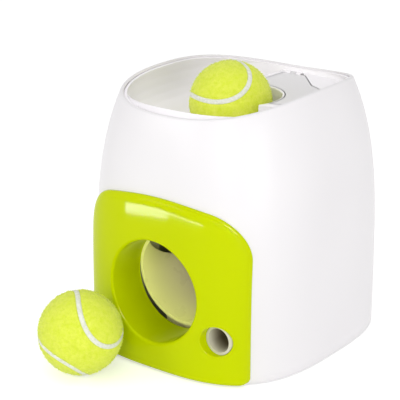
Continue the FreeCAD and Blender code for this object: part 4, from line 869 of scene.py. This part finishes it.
def make_treat_lid():
    """The flap over the treats, with its hinge eye between the basin's two."""
    lid = lid_block("treat_flap", 0.0, lid_levels())
    behind = HINGE_Y - KNUCKLE_RADIUS - LID_GAP
    hinge_way = plain_block("hinge_way", (LID_NECK_LEFT - 5, behind, 180),
                            (LID_NECK_RIGHT + 5, HINGE_Y + 9, 210))
    cut(lid, hinge_way)
    by_angle(lid, 40)
    eye = hinge_knuckle("lid_eye", *KNUCKLES[1], behind - 1.0)
    lid = joined("treat_flap", lid, eye)
    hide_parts("treat_lid")
    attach(lid, "lid")


# ---------------------------------------------------------------- tennis balls
def seam_line(count):
    """The closed seam of a tennis ball on a sphere of radius 1, which it rounds in two lobes."""
    turn = np.linspace(0, 2 * math.pi, count, endpoint=False)
    x = SEAM_WIDE * np.cos(turn) + SEAM_NARROW * np.cos(3 * turn)
    y = SEAM_WIDE * np.sin(turn) - SEAM_NARROW * np.sin(3 * turn)
    z = 2 * math.sqrt(SEAM_WIDE * SEAM_NARROW) * np.sin(2 * turn)
    return np.stack([x, y, z], 1)


def fibre_tree():
    """Geometry nodes that plant short bent fibres all over a surface."""
    tree = bpy.data.node_groups.new("felt fibres", "GeometryNodeTree")
    face = tree.interface
    face.new_socket("Surface", in_out="INPUT", socket_type="NodeSocketGeometry")
    settings = {}
    for name, kind, value in (("Per square metre", "NodeSocketFloat", 600000.0),
                              ("Length", "NodeSocketFloat", 0.0011),
                              ("Width", "NodeSocketFloat", 0.00022),
                              ("Seed", "NodeSocketInt", 5)):
        socket = face.new_socket(name, in_out="INPUT", socket_type=kind)
        socket.default_value = value
        settings[name] = socket.identifier
    face.new_socket("Fibres", in_out="OUTPUT", socket_type="NodeSocketGeometry")
    add = tree.nodes.new
    entry, leave = add("NodeGroupInput"), add("NodeGroupOutput")
    scatter = add("GeometryNodeDistributePointsOnFaces")
    blade = add("GeometryNodeMeshGrid")
    blade.inputs["Vertices X"].default_value = 2
    blade.inputs["Vertices Y"].default_value = 3
    stand = add("GeometryNodeTransform")
    stand.inputs["Rotation"].default_value = (math.radians(90), 0, 0)
    lift = add("ShaderNodeMath")
    lift.operation = "MULTIPLY"
    lift.inputs[1].default_value = FIBRE_LIFT
    rise = add("ShaderNodeCombineXYZ")
    tilt = add("FunctionNodeRandomValue")
    tilt.data_type = "FLOAT_VECTOR"
    tilt.inputs[0].default_value = (-FIBRE_TILT, -FIBRE_TILT, 0.0)
    tilt.inputs[1].default_value = (FIBRE_TILT, FIBRE_TILT, 6.28)
    turned = add("FunctionNodeRotateRotation")
    turned.rotation_space = "LOCAL"
    size = add("FunctionNodeRandomValue")
    size.data_type = "FLOAT"
    size.inputs[2].default_value, size.inputs[3].default_value = FIBRE_SCALES
    plant = add("GeometryNodeInstanceOnPoints")
    real = add("GeometryNodeRealizeInstances")
    paint = add("GeometryNodeSetMaterial")
    paint.inputs["Material"].default_value = MATERIALS["felt"]
    link = tree.links.new
    link(entry.outputs["Surface"], scatter.inputs["Mesh"])
    link(entry.outputs["Per square metre"], scatter.inputs["Density"])
    link(entry.outputs["Seed"], scatter.inputs["Seed"])
    link(entry.outputs["Width"], blade.inputs["Size X"])
    link(entry.outputs["Length"], blade.inputs["Size Y"])
    link(blade.outputs["Mesh"], stand.inputs["Geometry"])
    link(entry.outputs["Length"], lift.inputs[0])
    link(lift.outputs[0], rise.inputs["Z"])
    link(rise.outputs[0], stand.inputs["Translation"])
    link(scatter.outputs["Points"], plant.inputs["Points"])
    link(stand.outputs["Geometry"], plant.inputs["Instance"])
    link(scatter.outputs["Rotation"], turned.inputs["Rotation"])
    link(tilt.outputs[0], turned.inputs["Rotate By"])
    link(turned.outputs["Rotation"], plant.inputs["Rotation"])
    link(size.outputs[1], plant.inputs["Scale"])
    link(plant.outputs["Instances"], real.inputs["Geometry"])
    link(real.outputs["Geometry"], paint.inputs["Geometry"])
    link(paint.outputs["Geometry"], leave.inputs["Fibres"])
    return tree, settings


def make_tennis_ball(name, centre, turn, body, seed):
    """A felt ball with its seam as a groove, a rubber line in the groove and a nap of fibres."""
    centre = np.array(centre)
    spin = np.array(turn.to_matrix())
    edit = bmesh.new()
    bmesh.ops.create_icosphere(edit, subdivisions=6, radius=1.0)
    directions = np.array([v.co[:] for v in edit.verts])
    directions /= np.linalg.norm(directions, axis=1)[:, None]
    seam = seam_line(720) @ spin.T
    near = np.max(directions @ seam.T, axis=1)
    away = BALL_RADIUS * np.arccos(np.clip(near, -1, 1))
    groove = np.clip(1 - (away / (SEAM_HALF_WIDTH * SEAM_GROOVE_WIDER)) ** 2, 0, 1) ** 0.5
    lumps = np.sin(directions @ np.array(LUMP_WAVES[0])) * np.sin(directions @ np.array(LUMP_WAVES[1]))
    radius = BALL_RADIUS - FELT_BELOW_NAP - SEAM_GROOVE_DEPTH * groove + FELT_LUMPS * lumps
    for vertex, direction, size in zip(edit.verts, directions, radius):
        vertex.co = Vector((centre + direction * size) * MM)
    mesh = bpy.data.meshes.new(name + "_felt")
    edit.to_mesh(mesh)
    edit.free()
    mesh.materials.append(MATERIALS["felt"])
    for polygon in mesh.polygons:
        polygon.use_smooth = True
    felt = placed(name + "_felt_cover", mesh)

    fuzz = placed(name + "_nap", mesh.copy())
    trim_to_felt(fuzz, centre, seam)
    modifier = fuzz.modifiers.new("fibres", "NODES")
    modifier.node_group = FIBRES
    modifier[FIBRE_SETTINGS["Seed"]] = seed
    settle(fuzz)

    ribbon = seam_ribbon(name + "_seam", centre, seam)
    for piece, slot in ((felt, "felt"), (fuzz, "felt"), (ribbon, "ball_rubber")):
        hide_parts(name + "_felt")
        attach(piece, body)


def trim_to_felt(piece, centre, seam):
    """Takes away the faces over the seam, so that no fibre grows there."""
    edit = bmesh.new()
    edit.from_mesh(piece.data)
    gone = []
    for face in edit.faces:
        direction = np.array(face.calc_center_median()[:]) / MM - centre
        direction /= np.linalg.norm(direction)
        if BALL_RADIUS * math.acos(min(1.0, float(np.max(seam @ direction)))) < SEAM_HALF_WIDTH * 1.05:
            gone.append(face)
    bmesh.ops.delete(edit, geom=gone, context="FACES")
    edit.to_mesh(piece.data)
    edit.free()


def seam_ribbon(name, centre, seam):
    """The rubber line in the groove, as a closed band with a domed face."""
    along = np.roll(seam, -1, 0) - np.roll(seam, 1, 0)
    along /= np.linalg.norm(along, axis=1)[:, None]
    across = np.cross(seam, along)
    across /= np.linalg.norm(across, axis=1)[:, None]
    rows = []
    for side, height in SEAM_PROFILE:
        angle = side * SEAM_HALF_WIDTH / BALL_RADIUS
        direction = seam * math.cos(angle) + across * math.sin(angle)
        rows.append(centre + direction * (BALL_RADIUS + height))
    faces = grid_faces(len(rows), len(seam), True, True)
    return outward(piece_of(name, np.concatenate(rows), faces, SEAM_RUBBER))


# ---------------------------------------------------------------- pieces kept from the frame
def softened_copy(name, node, body, width, material):
    """A frame's piece with its edges broken, in place of the sharp one."""
    edit = bmesh.new()
    edit.from_mesh(nodes[node].data)
    bmesh.ops.remove_doubles(edit, verts=edit.verts, dist=1e-6)
    bmesh.ops.dissolve_limit(edit, angle_limit=math.radians(0.6), verts=edit.verts, edges=edit.edges)
    mesh = bpy.data.meshes.new(name)
    edit.to_mesh(mesh)
    edit.free()
    mesh.materials.append(material)
    piece = placed(name, mesh)
    bevel = piece.modifiers.new("edges", "BEVEL")
    bevel.width = width * MM
    bevel.segments = 2
    bevel.limit_method = "ANGLE"
    bevel.angle_limit = math.radians(40)
    settle(piece)
    by_angle(piece, 30)
    for polygon in piece.data.polygons:
        polygon.use_smooth = len(polygon.vertices) < 7
    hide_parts(node)
    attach(piece, body)


def dress_frame_nodes():
    """Gives each piece of the frame the material of its slot."""
    slots = {entry["node"]: entry["material_slot"] for entry in frame["record"]["subparts"]}
    for name, node in nodes.items():
        node.data.materials.clear()
        node.data.materials.append(MATERIALS[slots[name]])
        for polygon in node.data.polygons:
            polygon.use_smooth = False


# ---------------------------------------------------------------- studio
def aim(made, place, target):
    """Puts a lamp or camera at a place and turns it to a target."""
    place, target = Vector(place), Vector(target)
    made.location = place
    made.rotation_mode = "QUATERNION"
    made.rotation_quaternion = (target - place).to_track_quat("-Z", "Y")


def area_light(name, place, target, width, height, power, colour=(1, 1, 1)):
    data = bpy.data.lights.new(name, "AREA")
    data.shape = "RECTANGLE"
    data.size, data.size_y = width, height
    data.energy = power
    data.color = colour
    lamp = placed(name, data)
    aim(lamp, place, target)
    return lamp


def lit_alone(name, pieces, lamps):
    """Lets some lamps reach only the named pieces."""
    receivers = bpy.data.collections.new(name)
    for piece in pieces:
        receivers.objects.link(bpy.data.objects[piece])
    for lamp in lamps:
        lamp.light_linking.receiver_collection = receivers


def white_backdrop_rays(tree):
    """1 for the rays that should see the plain white background."""
    path = tree.nodes.new("ShaderNodeLightPath")
    first = tree.nodes.new("ShaderNodeMath")
    first.operation = "MAXIMUM"
    second = tree.nodes.new("ShaderNodeMath")
    second.operation = "MAXIMUM"
    tree.links.new(path.outputs["Is Camera Ray"], first.inputs[0])
    tree.links.new(path.outputs["Is Glossy Ray"], first.inputs[1])
    tree.links.new(first.outputs[0], second.inputs[0])
    tree.links.new(path.outputs["Is Transmission Ray"], second.inputs[1])
    return second.outputs[0]


def make_sky():
    """An even white sky, which lights the object less than it shows."""
    world = bpy.data.worlds.new("studio")
    bpy.context.scene.world = world
    world.use_nodes = True
    tree = world.node_tree
    background = tree.nodes["Background"]
    background.inputs["Color"].default_value = (1, 1, 1, 1)
    strength = spread(tree, white_backdrop_rays(tree), SKY_ON_OBJECT, 1.0, 0.0, 1.0)
    tree.links.new(strength, background.inputs["Strength"])


def make_floor():
    """A pale floor that glows a little where the camera sees it, and keeps the shadows."""
    material, tree, shader = tree_of("pale floor")
    shader.inputs["Base Color"].default_value = (0.92, 0.92, 0.92, 1)
    shader.inputs["Roughness"].default_value = 0.9
    shader.inputs["Specular IOR Level"].default_value = 0.1
    shader.inputs["Emission Color"].default_value = (1, 1, 1, 1)
    glow = spread(tree, white_backdrop_rays(tree), 0.0, FLOOR_GLOW, 0.0, 1.0)
    tree.links.new(glow, shader.inputs["Emission Strength"])
    corners = [(x * FLOOR_HALF, y * FLOOR_HALF, FLOOR_Z) for x, y in ((-1, -1), (1, -1), (1, 1), (-1, 1))]
    floor = piece_of("floor", corners, [(0, 1, 2, 3)], material, smooth=False)


def make_lamps():
    """Soft lamps all round, and small cards that light only the panel, the ball run or the basin."""
    lamps = {name: area_light(name, *row) for name, row in LAMPS.items()}
    panel_lamps = [lamps[name] for name in PANEL_LAMPS]
    lit_alone("glossy panel", ("lime_panel", "treat_lip"), panel_lamps)
    lit_alone("outlet run", ("ball_run",), [lamps["run card"]])
    lit_alone("basin", ("basin_moulding",), [lamps["basin card"]])
    for lamp in panel_lamps:
        lamp.visible_diffuse = False


def make_camera():
    data = bpy.data.cameras.new("camera")
    data.sensor_width = SENSOR_WIDTH
    data.lens = CAMERA_LENS
    data.clip_start, data.clip_end = 0.01, 20
    camera = placed("camera", data)
    aim(camera, CAMERA_PLACE, CAMERA_TARGET)
    bpy.context.scene.camera = camera
    bpy.context.scene.view_settings.view_transform = "Standard"


# ---------------------------------------------------------------- assembly
FIBRES, FIBRE_SETTINGS = fibre_tree()
dress_frame_nodes()
make_barrel_shell()
make_lime_panel()
make_basin_moulding()
make_treat_lid()
make_tennis_ball("loaded_ball", LOADED_BALL_AT, LOADED_BALL_TURN, "loaded_ball", seed=3)
make_tennis_ball("floor_ball", FLOOR_BALL_AT, FLOOR_BALL_TURN, "floor_ball", seed=8)
# the ball run takes the material with the painted reflection and shade
softened_copy("ball_run", "ball_chute", "body", 0.5, CHUTE_PAINTED_REFLECTION_AND_SHADE)
# the treat tube takes the material with the painted shade
softened_copy("treat_tube", "treat_chute", "body", 0.4, TUBE_PAINTED_SHADE)
make_sky()
make_floor()
make_lamps()
make_camera()
